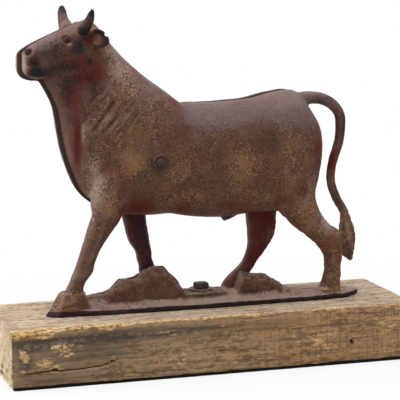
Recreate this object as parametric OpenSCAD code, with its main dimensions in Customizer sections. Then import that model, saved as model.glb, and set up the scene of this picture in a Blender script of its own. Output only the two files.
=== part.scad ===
// Bull-shaped windmill counterweight of cast iron on an old barn timber.
// Two hollow half castings meet on the plane y = 0 and are drawn together by a bolt and a rivet.
// The right half sits a little ahead of the left one, so its rim shows along the throat.
// The bull faces -X with its left flank towards -Y, and z = 0 is the underside of the felt.

/* [Timber] */
// Length of the timber
timber_l = 440; // [410:5:600]
// Depth of the timber from front to back
timber_w = 150; // [110:5:220]
// Height of the timber
timber_h = 60; // [45:1:90]
// Wear along the timber's long edges
timber_wear = 2.5; // [0.5:0.5:6]
// Thickness of the felt under the timber
felt_t = 3; // [2:0.5:6]
// Distance from the timber's sides to the felt
felt_inset = 2; // [0:0.5:10]
// Corner radius of the felt
felt_corner_r = 9; // [3:1:20]

/* [Castings] */
// Length of the casting from the muzzle to the hind tip of its plate
bull_l = 373; // [320:1:400]
// Wall of the hollow halves
wall = 6; // [4:0.5:8]
// Gap between the rims of the two halves on the parting plane
parting_gap = 0.4; // [0.2:0.1:1]
// Distance by which the right half sits ahead of the left one
right_lead = 5; // [0:0.5:6]
// Thickness of the plate at its edge
plate_edge_t = 4.6; // [3:0.2:7]
// Half-width of the plate beside the base bolt
plate_half_w = 31; // [26:1:38]
// Height of the bolt pad above the timber
pad_h = 15; // [11:0.5:18]

/* [Fasteners] */
// Diameter of the base and body bolts
bolt_d = 9.5; // [8:0.5:11]
// Radial clearance of the bolts in the castings and the timber
bolt_clearance = 0.4; // [0.2:0.1:1]
// Width across the flats of the square bolt heads
head_af = 13.5; // [12:0.5:20]
// Height of the square bolt heads
head_h = 6.5; // [4:0.5:10]
// Width across the flats of the hexagon nuts
nut_af = 17; // [14:0.5:22]
// Height of the hexagon nuts
nut_h = 8; // [6:0.5:12]
// Outside diameter of the washers
washer_d = 27; // [22:0.5:34]
// Thickness of the washers
washer_t = 2; // [1.5:0.25:4]
// Bolt end left standing beyond each nut
bolt_end = 2; // [1:0.5:4]
// Diameter of the pocket for the nut under the timber
pocket_d = 34; // [30:1:44]
// Diameter of the neck rivet
rivet_d = 7; // [5:0.5:9]
// Diameter of the rivet's countersunk ends
rivet_head_d = 11; // [10:0.5:14]
// Depth of the rivet's countersunk ends
rivet_head_h = 3; // [2:0.5:4]
// Depth of the recess that each rivet end lies in
rivet_recess = 1; // [0.5:0.25:3]

/* [Hidden] */

round_fn = 48;
ring_n = 14;
limb_n = 12;
cord_n = 8;
past = 1;

// The bull is drawn between these places and brought to bull_l as a whole
muzzle_x = -186;
plate_tip_x = 182;
k = (bull_l - right_lead) / (plate_tip_x - muzzle_x);
lead = right_lead / k;
deck_z = felt_t + timber_h;

// Places of the fastenings, along the bull and above its plate
base_bolt_x = 4;
body_bolt_x = -51;
body_bolt_z = 162;
body_seat_out = 40;
boss_d = 25;
rivet_x = -110;
rivet_z = 239;
rivet_seat_out = 29;
rivet_boss_d = 18;

bore_d = bolt_d + 2 * bolt_clearance;
pocket_h = washer_t + nut_h + bolt_end + past;
pad_z = deck_z + pad_h * k;
body_seat = body_seat_out * k;
rivet_seat = rivet_seat_out * k;

// Trunk and neck, from rump to throat: upper x, z, lower x, z, half-width, squareness
trunk_rows = [
  [141, 172, 139, 150, 10, 2.2],
  [137, 190, 132, 126, 26, 2.3],
  [128, 207, 121, 108, 34, 2.4],
  [112, 227, 105, 98, 38, 2.5],
  [88, 227, 84, 97, 38, 2.5],
  [60, 221, 58, 97, 37, 2.5],
  [28, 219, 27, 94, 38, 2.5],
  [-4, 219, -8, 97, 39, 2.5],
  [-17, 220, -30, 101, 40, 2.5],
  [-38, 236, -58, 101, 40, 2.5],
  [-58, 251, -88, 105, 40, 2.5],
  [-76, 267, -112, 117, 37, 2.5],
  [-88, 280, -128, 134, 33, 2.6],
  [-96, 290, -140, 166, 30, 2.7],
  [-102, 298, -145, 190, 28, 2.7],
  [-108, 303, -149, 216, 26, 2.6],
  [-114, 304, -155, 232, 23, 2.5],
  [-122, 302, -164, 248, 16, 2.4]];
cavity_first = 2;
cavity_last = 14;

// Head, from the poll to the muzzle, in the same terms
head_rows = [
  [-103, 300, -103, 268, 12, 2.2],
  [-110, 307.5, -109, 250, 22, 2.3],
  [-119, 310.5, -118, 236, 26, 2.4],
  [-134, 305, -130, 238, 24, 2.5],
  [-150, 298.5, -145, 246, 19, 2.6],
  [-165, 292, -161, 250, 15.5, 2.8],
  [-177, 286, -173, 250.5, 14.5, 3],
  [-184, 281, -182, 254, 12.5, 3],
  [muzzle_x, 278, muzzle_x, 260, 9, 2.8]];

// Legs, from the body down: height, x, distance from the parting plane, half-length, half-width
left_front_rows = [
  [168, -84, 24, 26, 12],
  [140, -92, 24, 26, 15],
  [120, -99, 22, 22, 15],
  [107, -103, 20, 16.5, 15],
  [97, -107, 18, 15.5, 13.5],
  [82, -114.5, 16, 12.5, 11.5],
  [69, -121, 15, 10.5, 10],
  [55, -127, 14, 9, 9],
  [43, -132, 14, 9.5, 9],
  [35, -137, 13.5, 8, 8],
  [24, -142, 13, 10.5, 9]];
left_hind_rows = [
  [170, 102, 22, 28, 15],
  [140, 103, 22, 29, 18],
  [118, 103, 21, 24.5, 17],
  [100, 109, 20, 22.5, 16.5],
  [89, 118, 18.5, 20.5, 15],
  [80, 126, 17.5, 20, 13.5],
  [73, 136, 17, 21, 13],
  [60, 145, 16, 14, 11],
  [48, 150, 15, 10.5, 10],
  [36, 150, 15, 9, 9],
  [24, 149, 15, 9.5, 9.5],
  [14, 147, 14.5, 11, 10],
  [9, 145, 14, 13, 11],
  [4, 144, 14, 14, 11.5]];
right_front_rows = [
  [165, -75, 22, 24, 13],
  [130, -72, 22, 20, 15],
  [108, -67, 20, 15, 14],
  [97, -65, 18, 13, 12.5],
  [72, -61, 16, 11.5, 10.5],
  [59, -56, 15, 8.5, 9],
  [51, -55, 15, 8, 8.5],
  [44, -53, 15, 8.5, 9],
  [32, -49, 15, 11, 10]];
right_hind_rows = [
  [165, 98, 22, 30, 15],
  [130, 92, 22, 26, 17],
  [108, 82, 20, 21, 16],
  [95, 79, 18, 17.5, 14.5],
  [70, 78, 16, 15.5, 12],
  [56, 73, 15, 11, 10.5],
  [42, 65, 15, 8.5, 9],
  [33, 58, 15, 9.5, 9],
  [24, 50, 15, 11.5, 9.5],
  [15, 46, 15, 14, 10.5],
  [4, 45, 15, 15, 11]];
limb_squareness = 2.3;

// Eye and nostril: x, distance from the parting plane, height, radius
eye = [-142, 18.5, 290, 4];
nostril = [-178, 13.5, 279.5, 3];

// The left fore hoof: height, heel x, cheek x, toe x, distance from the parting plane, half-width
fore_hoof_rows = [
  [24, -133, -149, -153, 12.5, 6.5],
  [21, -132, -152, -156, 12.5, 7.5],
  [0, -124, -158, -170, 12.5, 10.5]];

// The stone under the right fore hoof, in the legs' terms
stone_rows = [
  [33, -46, 14, 10, 9],
  [22, -46, 14, 15, 12],
  [0, -47, 13, 20, 14]];
stone_squareness = 4;

// Tail, horns, sheath, mouth and folds of the neck: x, distance from the parting plane, height, radius
tail_rows = [
  [108, 4, 216, 8],
  [126, 5, 219, 7.2],
  [142, 5.5, 217.5, 6.5],
  [155, 5.5, 210, 6],
  [163, 5.5, 197, 5.6],
  [162, 5.5, 172, 5.4],
  [154, 5.5, 147, 5.2],
  [152, 5.5, 126, 5],
  [159, 5.5, 106, 4.8],
  [167, 6, 92, 5],
  [168.5, 8, 74, 8.5],
  [167, 9, 60, 10.5],
  [170, 9, 48, 7.5],
  [174.5, 8, 38, 2]];
left_horn_rows = [
  [-127, 18, 299, 7.5],
  [-125, 29, 304, 6.2],
  [-122, 39, 312, 4.8],
  [-121, 45, 319, 3.4],
  [-120.5, 47, 324, 1.6]];
right_horn_rows = [
  [-131, 18, 298, 6.5],
  [-131, 28, 303, 5.8],
  [-131.5, 37, 310, 5],
  [-131.5, 43, 318, 4],
  [-131.5, 45, 324, 2.2]];
sheath_rows = [
  [44, 0, 101, 6],
  [34, 0, 96, 4.5],
  [30, 0, 92.5, 2.5]];
mouth_rows = [
  [-181, 14.5, 267.5, 1],
  [-174, 16, 266, 1.5],
  [-167, 16, 265, 1]];
fold_rows = [
  [[-118, 31, 234, 1.5], [-125, 31, 223, 2.2], [-131, 29.5, 212, 1.2]],
  [[-106, 33, 230, 1.5], [-118, 33, 214, 2.5], [-129, 30.5, 198, 1.2]],
  [[-92, 35, 224, 1.5], [-108, 34.5, 208, 2.5], [-122, 33, 193, 1.2]],
  [[-72, 36.5, 214, 1.5], [-87, 37.5, 202, 2.2], [-100, 37.5, 189, 1.2]]];

// Ears: x, distance from the parting plane, height, half-height, half-thickness
ear_rows = [
  [-117, 18, 294, 5, 4],
  [-113, 27, 294, 8, 3.6],
  [-109, 35, 292, 8.5, 3],
  [-106, 41, 290, 5, 2],
  [-105, 43, 289, 1.5, 1]];

// Plate, rocks and pad: x, plate half-width, rock foot, its height, rock top half-width, its height
plate_rows = [
  [-161, 8, 4, plate_edge_t, 2, plate_edge_t + 0.4],
  [-156, 20, 8, 6, 6, 8],
  [-128, 25, 14, 9, 8, 17],
  [-104, 27, 14, 9, 7, 19],
  [-96, 27.5, 14, 9, 7, 24],
  [-86, 28, 15, 9.5, 8, 32],
  [-69, 29, 16, 9.5, 8, 34],
  [-53, 30, 16, 9.5, 9, 43.5],
  [-39, 30.5, 16, 9.5, 9, 43],
  [-25, plate_half_w, 15, 9.5, 9, 29.5],
  [-21, plate_half_w, 15, 9.5, 10, 22],
  [-14, plate_half_w, 15, 9.5, 14, pad_h],
  [22, plate_half_w, 15, 9.5, 14, pad_h],
  [40, plate_half_w, 14, 9.5, 11, 12],
  [50, plate_half_w, 13, 9, 6, 33],
  [60, plate_half_w, 13, 9, 7, 29.5],
  [73, plate_half_w, 13, 9, 7, 28.5],
  [91, 30.5, 13, 8.5, 8, 19],
  [97, 30.5, 13, 8, 9, 12],
  [107, 30, 13, 7.5, 10, 9.5],
  [137, 29.5, 12, 6.5, 8, 7.5],
  [162, 26, 9, 6, 6, 6.5],
  [176, 15, 5, 5.4, 3, 5.8],
  [plate_tip_x, 6, 2, plate_edge_t, 1, plate_edge_t + 0.4]];

// One point of a smooth curve that passes through b at t = 0 and c at t = 1
function curve_point(a, b, c, d, t) =
  b + (c - a) * t / 2 + (a * 2 - b * 5 + c * 4 - d) * t * t / 2
    + (b * 3 - a - c * 3 + d) * t * t * t / 2;

// Rows joined by a smooth curve, with the given number of steps between two rows
function smooth(rows, steps) =
  let (last = len(rows) - 1)
  [for (i = [0 : last - 1], s = [0 : steps - 1])
    curve_point(rows[max(i - 1, 0)], rows[i], rows[i + 1], rows[min(i + 2, last)], s / steps),
   rows[last]];

function unit(v) = v / norm(v);
function signed_pow(v, e) = sign(v) * pow(abs(v), e);

// Half a rounded section from the lower edge out round the flank to the upper edge
function flank_ring(row, n) =
  let (upper = [row[0], 0, row[1]], lower = [row[2], 0, row[3]], e = 2 / row[5])
  let (middle = (upper + lower) / 2, reach = (upper - lower) / 2)
  [for (i = [0 : n])
    let (a = -90 + 180 * i / n)
    middle + reach * signed_pow(sin(a), e) - [0, row[4] * pow(max(cos(a), 0), e), 0]];

// A level rounded ring of a leg or a block
function level_ring(row, n, squareness) =
  let (e = 2 / squareness)
  [for (i = [0 : n - 1])
    let (a = 360 * i / n)
    [row[1] + row[3] * signed_pow(cos(a), e), -row[2] - row[4] * signed_pow(sin(a), e), row[0]]];

// A ring across a path, with its radii along and across the side direction
function path_ring(point, along, side, r_side, r_other, n) =
  let (u = unit(side - along * (side * along)), v = cross(along, u))
  [for (i = [0 : n - 1])
    let (a = 360 * i / n)
    point + u * r_side * cos(a) + v * r_other * sin(a)];

function place(row) = [row[0], -row[1], row[2]];
function heading(rows, i) = unit(place(rows[min(i + 1, len(rows) - 1)]) - place(rows[max(i - 1, 0)]));

// Solid skin over rings with equal numbers of points, each clockwise when seen along the path
module skin(rings) {
  n = len(rings[0]);
  last = len(rings) - 1;
  sides = [for (i = [0 : last - 1], j = [0 : n - 1], half = [0, 1])
    let (a = i * n + j, b = i * n + (j + 1) % n)
    half == 0 ? [a, a + n, b] : [b, a + n, b + n]];
  first_cap = [[for (j = [0 : n - 1]) j]];
  last_cap = [[for (j = [n - 1 : -1 : 0]) last * n + j]];
  polyhedron(points = [for (ring = rings) each ring], faces = concat(sides, first_cap, last_cap));
}

// Trunk or head of the left half
module flank(rows, steps, n) {
  skin([for (row = smooth(rows, steps)) flank_ring(row, n)]);
}

// Leg of the left half
module leg(rows, steps) {
  skin([for (row = smooth(rows, steps)) level_ring(row, limb_n, limb_squareness)]);
}

// Pointed fore hoof of the left half
module fore_hoof() {
  skin([for (r = fore_hoof_rows)
    [[r[1], -r[4] + r[5], r[0]], [r[1], -r[4] - r[5], r[0]], [r[2], -r[4] - r[5], r[0]],
     [r[3], -r[4], r[0]], [r[2], -r[4] + r[5], r[0]]]]);
}

// Stone that carries a hoof
module stone() {
  skin([for (row = stone_rows) level_ring(row, limb_n, stone_squareness)]);
}

// Tail, horn, sheath or furrow of the left half
module cone_path(rows, steps, side) {
  path = smooth(rows, steps);
  skin([for (i = [0 : len(path) - 1])
    path_ring(place(path[i]), heading(path, i), side, path[i][3], path[i][3], cord_n)]);
}

module ear() {
  path = smooth(ear_rows, 2);
  skin([for (i = [0 : len(path) - 1])
    path_ring(place(path[i]), heading(path, i), [0, 0, 1], path[i][3], path[i][4], cord_n)]);
}

// Plate with its rocks and bolt pad
module plate() {
  skin([for (r = plate_rows)
    [[r[0], 0, r[5]], [r[0], -r[4], r[5]], [r[0], -r[2], r[3]], [r[0], -r[1], plate_edge_t],
     [r[0], -r[1], 0], [r[0], 0, 0]]]);
}

// Hollow of the trunk and neck, one wall inside the skin
module hollow() {
  inner = wall / k;
  rows = [for (i = [cavity_first : cavity_last])
    let (r = trunk_rows[i], up = unit([r[0] - r[2], r[1] - r[3]]) * inner)
    [r[0] - up[0], r[1] - up[1], r[2] + up[0], r[3] + up[1], r[4] - inner, r[5]]];
  skin([for (row = smooth(rows, 2)) flank_ring(row, 10)]);
}

// Column inside a half that carries a fastening
module column(x, z, d, out) {
  translate([x, 0, z])
    rotate([90, 0, 0])
      cylinder(d = d, h = out, $fn = 24);
}

// Round bead at an eye or nostril
module bead(row) {
  translate(place(row))
    sphere(row[3], $fn = 12);
}

// Hollow trunk and head of the left half with the marks of its face and neck
module hide() {
  difference() {
    union() {
      flank(trunk_rows, 2, ring_n);
      flank(head_rows, 2, ring_n);
      ear();
      bead(eye);
    }
    hollow();
    bead(nostril);
    cone_path(mouth_rows, 2, [0, 0, 1]);
    for (rows = fold_rows)
      cone_path(rows, 2, [0, 1, 0]);
  }
}

// Half casting on the -Y side, before its holes are drilled
module half_body(front_leg, hind_leg, horn, ahead) {
  front_x = muzzle_x - ahead;
  resize([(plate_tip_x - front_x) * k, 0, 0], auto = true)
    union() {
      intersection() {
        union() {
          translate([-ahead, 0, 0])
            hide();
          difference() {
            union() {
              leg(front_leg, 2);
              leg(hind_leg, 2);
              cone_path(horn, 2, [1, 0, 0]);
              cone_path(sheath_rows, 1, [0, 1, 0]);
              plate();
              children();
            }
            translate([-ahead, 0, 0])
              hollow();
          }
        }
        translate([front_x - past, -bull_l, -past])
          cube([plate_tip_x - front_x + 2 * past, bull_l - parting_gap / 2 / k, 2 * bull_l]);
      }
      column(body_bolt_x, body_bolt_z, boss_d, body_seat_out);
      column(rivet_x, rivet_z, rivet_boss_d, rivet_seat_out);
    }
}

// Holes that both halves share, through the parting plane and through the pad
module casting_holes() {
  translate([body_bolt_x * k, bull_l / 2, body_bolt_z * k])
    rotate([90, 0, 0])
      cylinder(d = bore_d, h = bull_l, $fn = round_fn);
  translate([rivet_x * k, bull_l / 2, rivet_z * k])
    rotate([90, 0, 0])
      cylinder(d = rivet_d + 2 * bolt_clearance, h = bull_l, $fn = round_fn);
  for (side = [-1, 1])
    translate([rivet_x * k, side * (rivet_seat - rivet_recess), rivet_z * k])
      rotate([-90 * side, 0, 0]) {
        translate([0, 0, -rivet_head_h])
          cylinder(d1 = rivet_d, d2 = rivet_head_d, h = rivet_head_h, $fn = round_fn);
        cylinder(d = rivet_head_d + 2 * bolt_clearance, h = rivet_seat, $fn = round_fn);
      }
  translate([base_bolt_x * k, 0, -past])
    cylinder(d = bore_d, h = pad_h * k + 2 * past, $fn = round_fn);
}

module left_half() {
  color([0.30, 0.19, 0.15])
    translate([0, 0, deck_z])
      difference() {
        half_body(left_front_rows, left_hind_rows, left_horn_rows, 0) {
          cone_path(tail_rows, 2, [0, 1, 0]);
          fore_hoof();
        }
        casting_holes();
      }
}

module right_half() {
  color([0.27, 0.17, 0.14])
    translate([0, 0, deck_z])
      difference() {
        mirror([0, 1, 0])
          half_body(right_front_rows, right_hind_rows, right_horn_rows, lead)
            stone();
        casting_holes();
      }
}

// Square-headed bolt along -Z, with its head's underside at z = 0
module square_bolt(length) {
  translate([0, 0, -length])
    cylinder(d = bolt_d, h = length + past, $fn = round_fn);
  rotate([0, 0, 12])
    translate([-head_af / 2, -head_af / 2, 0])
      cube([head_af, head_af, head_h]);
}

// Hexagon nut standing on z = 0
module hex_nut() {
  difference() {
    cylinder(d = nut_af / cos(30), h = nut_h, $fn = 6);
    translate([0, 0, -past])
      cylinder(d = bolt_d + bolt_clearance, h = nut_h + 2 * past, $fn = round_fn);
  }
}

module washer() {
  difference() {
    cylinder(d = washer_d, h = washer_t, $fn = round_fn);
    translate([0, 0, -past])
      cylinder(d = bore_d, h = washer_t + 2 * past, $fn = round_fn);
  }
}

module body_bolt() {
  color([0.24, 0.20, 0.19])
    translate([body_bolt_x * k, body_seat, deck_z + body_bolt_z * k])
      rotate([-90, 0, 0])
        square_bolt(2 * body_seat + nut_h + bolt_end);
}

module body_nut() {
  color([0.33, 0.28, 0.26])
    translate([body_bolt_x * k, -body_seat, deck_z + body_bolt_z * k])
      rotate([90, 30, 0])
        hex_nut();
}

module neck_rivet() {
  color([0.34, 0.20, 0.15])
    translate([rivet_x * k, 0, deck_z + rivet_z * k])
      rotate([90, 0, 0]) {
        end = rivet_seat - rivet_recess;
        translate([0, 0, -end])
          cylinder(d = rivet_d, h = 2 * end, $fn = round_fn);
        for (side = [0, 1])
          mirror([0, 0, side])
            translate([0, 0, end - rivet_head_h])
              cylinder(d1 = rivet_d, d2 = rivet_head_d, h = rivet_head_h, $fn = round_fn);
      }
}

module base_bolt() {
  color([0.20, 0.16, 0.16])
    translate([base_bolt_x * k, 0, pad_z + washer_t])
      square_bolt(pad_z + washer_t - felt_t - past);
}

module base_washer() {
  color([0.36, 0.33, 0.31])
    translate([base_bolt_x * k, 0, pad_z])
      washer();
}

module lower_washer() {
  color([0.36, 0.33, 0.31])
    translate([base_bolt_x * k, 0, felt_t + pocket_h - washer_t])
      washer();
}

module lower_nut() {
  color([0.33, 0.28, 0.26])
    translate([base_bolt_x * k, 0, felt_t + pocket_h - washer_t - nut_h])
      hex_nut();
}

module timber_base() {
  c = timber_wear;
  color([0.52, 0.43, 0.32])
    difference() {
      translate([-timber_l / 2, 0, felt_t])
        rotate([90, 0, 90])
          linear_extrude(timber_l)
            polygon([[-timber_w / 2, 0], [timber_w / 2, 0],
              [timber_w / 2, timber_h - c], [timber_w / 2 - c, timber_h],
              [c - timber_w / 2, timber_h], [-timber_w / 2, timber_h - c]]);
      translate([base_bolt_x * k, 0, 0])
        cylinder(d = bore_d, h = deck_z + past, $fn = round_fn);
      translate([base_bolt_x * k, 0, felt_t - past])
        cylinder(d = pocket_d, h = pocket_h + past, $fn = round_fn);
    }
}

module base_felt() {
  l = timber_l - 2 * felt_inset;
  w = timber_w - 2 * felt_inset;
  r = felt_corner_r;
  color([0.12, 0.11, 0.11])
    union() {
      translate([-l / 2 + r, -w / 2, 0])
        cube([l - 2 * r, w, felt_t]);
      translate([-l / 2, -w / 2 + r, 0])
        cube([l, w - 2 * r, felt_t]);
      for (x = [r - l / 2, l / 2 - r], y = [r - w / 2, w / 2 - r])
        translate([x, y, 0])
          cylinder(r = r, h = felt_t, $fn = round_fn);
    }
}

left_half();
right_half();
body_bolt();
body_nut();
neck_rivet();
base_bolt();
base_washer();
lower_washer();
lower_nut();
timber_base();
base_felt();
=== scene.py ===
import math

import bmesh
import bpy
import numpy as np
from mathutils import Matrix, Vector


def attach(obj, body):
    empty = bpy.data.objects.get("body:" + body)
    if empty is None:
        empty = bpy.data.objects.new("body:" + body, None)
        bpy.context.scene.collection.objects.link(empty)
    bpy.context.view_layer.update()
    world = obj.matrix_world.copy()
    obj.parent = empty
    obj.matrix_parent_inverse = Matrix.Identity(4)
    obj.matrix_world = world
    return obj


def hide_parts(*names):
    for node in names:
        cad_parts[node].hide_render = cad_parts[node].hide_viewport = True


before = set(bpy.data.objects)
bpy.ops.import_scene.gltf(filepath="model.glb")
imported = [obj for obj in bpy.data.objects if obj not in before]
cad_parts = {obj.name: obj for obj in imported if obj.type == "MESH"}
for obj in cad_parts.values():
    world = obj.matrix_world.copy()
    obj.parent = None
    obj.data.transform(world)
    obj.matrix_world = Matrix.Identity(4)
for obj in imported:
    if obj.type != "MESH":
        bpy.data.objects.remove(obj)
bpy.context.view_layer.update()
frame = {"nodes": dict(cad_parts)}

scene = bpy.context.scene
scene.view_settings.view_transform = "Standard"
mm = 0.001
deckZ = 63.0  # top of the timber; every height of the bull is counted from it
print("frame loaded:", ", ".join(frame["nodes"]))


# ways to work out shapes, all in millimetres

def smoothRows(rows, steps):
    # uniform Catmull-Rom curve: each span is a cubic through rows b and c, steered by a and d beside them
    rows = np.asarray(rows, float)
    spans = len(rows) - 1
    padded = np.concatenate([rows[:1], rows, rows[-1:]])
    a, b, c, d = (padded[i:i + spans, None] for i in range(4))
    t = np.arange(steps)[None, :, None] / steps
    curve = b + (c - a) * t / 2 + (2 * a - 5 * b + 4 * c - d) * t ** 2 / 2
    curve = curve + (3 * b - a - 3 * c + d) * t ** 3 / 2
    return np.concatenate([curve.reshape(-1, rows.shape[1]), rows[-1:]])


def unit(v):
    return v / np.linalg.norm(v, axis=-1, keepdims=True)


def signedPower(v, e):
    # power of the size of v, with the sign of v
    return np.sign(v) * np.abs(v) ** e


def flankRings(rows, count, past=4.0):
    # half a superellipse from the lower edge round the flank to the upper edge, closed a little past the seam
    upper = np.stack([rows[:, 0], 0 * rows[:, 0], rows[:, 1]], 1)[:, None]
    lower = np.stack([rows[:, 2], 0 * rows[:, 0], rows[:, 3]], 1)[:, None]
    power = (2 / rows[:, 5])[:, None]
    a = np.linspace(-math.pi / 2, math.pi / 2, count + 1)[None]
    rise = signedPower(np.sin(a), power)
    out = rows[:, 4:5] * np.maximum(np.cos(a), 0) ** power
    rings = (upper + lower) / 2 + (upper - lower) / 2 * rise[..., None]
    rings[..., 1] -= out
    shift = np.array([0, past, 0])
    return np.concatenate([rings, upper + shift, lower + shift], 1)


def limbRings(rows, count, squareness):
    # level superellipse: x and y follow signed powers of cosine and sine
    a = np.linspace(0, 2 * math.pi, count, endpoint=False)[None]
    power = 2 / squareness
    x = rows[:, 1:2] + rows[:, 3:4] * signedPower(np.cos(a), power)
    y = -rows[:, 2:3] - rows[:, 4:5] * signedPower(np.sin(a), power)
    return np.stack([x, y, np.broadcast_to(rows[:, :1], x.shape)], -1)


def pathRings(rows, count, side, across=3, other=3, cup=0.0):
    # ellipse carried square to a path; cup bends its two ends forward as in a spoon
    centre = np.stack([rows[:, 0], -rows[:, 1], rows[:, 2]], 1)
    along = unit(np.gradient(centre, axis=0))
    side = np.asarray(side, float)
    u = unit(side - along * (along @ side)[:, None])
    v = np.cross(along, u)
    a = np.linspace(0, 2 * math.pi, count, endpoint=False)[None]
    su = rows[:, across:across + 1] * np.cos(a)
    sv = rows[:, other:other + 1] * np.sin(a) + cup * rows[:, across:across + 1] * (np.cos(a) ** 2 - 0.4)
    return centre[:, None] + u[:, None] * su[..., None] + v[:, None] * sv[..., None]


def sideFaces(count, n, spans):
    # quads between neighbouring rings of n points, each cut in two; rings run round by the right hand
    i, j = np.meshgrid(np.arange(spans), np.arange(n), indexing="ij")
    k, near, far = (j + 1) % n, i * n, (i + 1) % count * n
    return np.stack([near + j, near + k, far + j, near + k, far + k, far + j], -1).reshape(-1, 3)


def hoopLoft(rings):
    # rings joined one to the next and the last to the first, as in a washer
    count, n = rings.shape[:2]
    return rings.reshape(-1, 3), sideFaces(count, n, count)


def closedLoft(rings):
    # rings joined one to the next, with a fan over both ends
    count, n = rings.shape[:2]
    points = np.concatenate([rings.reshape(-1, 3), rings[0].mean(0)[None], rings[-1].mean(0)[None]])
    k = np.arange(n)
    first = np.stack([(k + 1) % n, k, 0 * k + count * n], 1)
    last = np.stack([k, (k + 1) % n, 0 * k + n + 1], 1) + (count - 1) * n
    return points, np.concatenate([sideFaces(count, n, count - 1), first, last])


def joinLofts(lofts):
    # lofts as one set of points, with each loft's faces counted on from the points before it
    starts = np.cumsum([0] + [len(points) for points, faces in lofts[:-1]])
    points = np.concatenate([points for points, faces in lofts])
    return points, np.concatenate([faces + s for (p, faces), s in zip(lofts, starts)])


def latticeNoise(points, size, seed, eased=True):
    # random values on a cubic lattice, blended between the eight corners round each point
    table = np.random.default_rng(seed).random((32, 32, 32)) * 2 - 1
    q = points / np.asarray(size, float)
    base = np.floor(q).astype(int)
    f = q - base
    if eased:
        f = f * f * (3 - 2 * f)
    value = np.zeros(len(points))
    for corner in np.ndindex(2, 2, 2):
        i = (base + corner) % 32
        value += np.prod(np.where(corner, f, 1 - f), axis=1) * table[i[:, 0], i[:, 1], i[:, 2]]
    return value


def layeredNoise(points, size, seed, layers=3):
    # noise added to itself at half the size and a little over half the height, layer by layer
    return sum(latticeNoise(points, np.asarray(size) / 2 ** i, seed + i) * 0.55 ** i for i in range(layers))


def ease(v, low, high):
    # from 0 at low to 1 at high by three t squared less two t cubed
    t = np.clip((v - low) / (high - low), 0, 1)
    return t * t * (3 - 2 * t)


def furrow(x, z, path, width, depth):
    # bell-shaped groove or ridge along a smooth line, fading at both ends
    line = smoothRows(path, 5)
    near = np.flatnonzero((x > line[:, 0].min() - 3 * width) & (x < line[:, 0].max() + 3 * width)
                          & (z > line[:, 1].min() - 3 * width) & (z < line[:, 1].max() + 3 * width))
    result = np.zeros(len(x))
    a, run = line[:-1], np.diff(line, axis=0)
    dx, dz = x[near, None] - a[:, 0], z[near, None] - a[:, 1]
    t = np.clip((dx * run[:, 0] + dz * run[:, 1]) / (run ** 2).sum(1), 0, 1)
    gap = np.hypot(dx - t * run[:, 0], dz - t * run[:, 1])
    best = gap.argmin(1)
    rows = np.arange(len(near))
    place = (best + t[rows, best]) / len(run)
    fade = ease(np.minimum(place, 1 - place), -0.02, 0.22)
    result[near] = depth * fade * np.exp(-(gap[rows, best] / width) ** 2)
    return result


def mounds(x, z, table):
    # sum of bell-shaped mounds, each given as x, z, its two reaches and its height
    return sum(h * np.exp(-((x - cx) / rx) ** 2 - ((z - cz) / rz) ** 2) for cx, cz, rx, rz, h in table)


# from arrays to Blender pieces and back

def setArray(items, field, values, kind=np.float32):
    items.foreach_set(field, np.ascontiguousarray(values, dtype=kind).ravel())


def newPiece(name, points, faces):
    mesh = bpy.data.meshes.new(name)
    faces = np.asarray(faces)
    mesh.vertices.add(len(points))
    setArray(mesh.vertices, "co", points * mm)
    mesh.loops.add(faces.size)
    setArray(mesh.loops, "vertex_index", faces, np.int32)
    mesh.polygons.add(len(faces))
    setArray(mesh.polygons, "loop_start", np.arange(0, faces.size, faces.shape[1]), np.int32)
    mesh.update(calc_edges=True)
    piece = bpy.data.objects.new(name, mesh)
    scene.collection.objects.link(piece)
    return piece


def settle(piece):
    # the modifiers' result becomes the piece's own mesh
    bpy.context.view_layer.update()
    graph = bpy.context.evaluated_depsgraph_get()
    done = bpy.data.meshes.new_from_object(piece.evaluated_get(graph))
    old = piece.data
    piece.modifiers.clear()
    piece.data = done
    bpy.data.meshes.remove(old)
    done.name = piece.name


def readArray(items, field, width, kind=np.float32):
    values = np.empty(len(items) * width, kind)
    items.foreach_get(field, values)
    return values.reshape(-1, width)


def readMesh(mesh):
    points = readArray(mesh.vertices, "co", 3).astype(float) / mm
    normals = readArray(mesh.vertex_normals, "vector", 3).astype(float)
    edges = readArray(mesh.edges, "vertices", 2, np.int32)
    return points, normals, edges


def writePoints(mesh, points):
    setArray(mesh.vertices, "co", points * mm)
    mesh.update()


def neighbourMean(values, edges):
    # mean of the values at the other ends of a point's edges
    n = len(values)
    one, two = edges[:, 0], edges[:, 1]
    degree = np.maximum(np.bincount(one, minlength=n) + np.bincount(two, minlength=n), 1)
    columns = values.reshape(n, -1)
    total = [np.bincount(one, c[two], n) + np.bincount(two, c[one], n) for c in columns.T]
    return (np.stack(total, 1) / degree[:, None]).reshape(values.shape)


def writeMask(piece, name, values):
    layer = piece.data.attributes.new(name, "FLOAT", "POINT")
    setArray(layer.data, "value", np.clip(values, 0, 1))


def reliefMask(points, normals, edges, rounds, calm=0):
    # how far a point lies below the mean of its wider surroundings, 0.5 where level
    wide = points
    for i in range(rounds):
        wide = neighbourMean(wide, edges)
    below = ((wide - points) * normals).sum(1)
    for i in range(calm):
        below = neighbourMean(below, edges)
    return 0.5 + below * 0.9


def finishPiece(piece, material, slot, *nodes, sharp=50):
    piece.data.materials.clear()
    piece.data.materials.append(material)
    piece.data.polygons.foreach_set("use_smooth", np.ones(len(piece.data.polygons), bool))
    piece.data.set_sharp_from_angle(angle=math.radians(sharp))
    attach(piece, "root")
    if nodes:
        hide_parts(*nodes)
    piece.data.calc_loop_triangles()
    print(piece.name, "has", len(piece.data.loop_triangles), "triangles")


# material helpers

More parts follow.
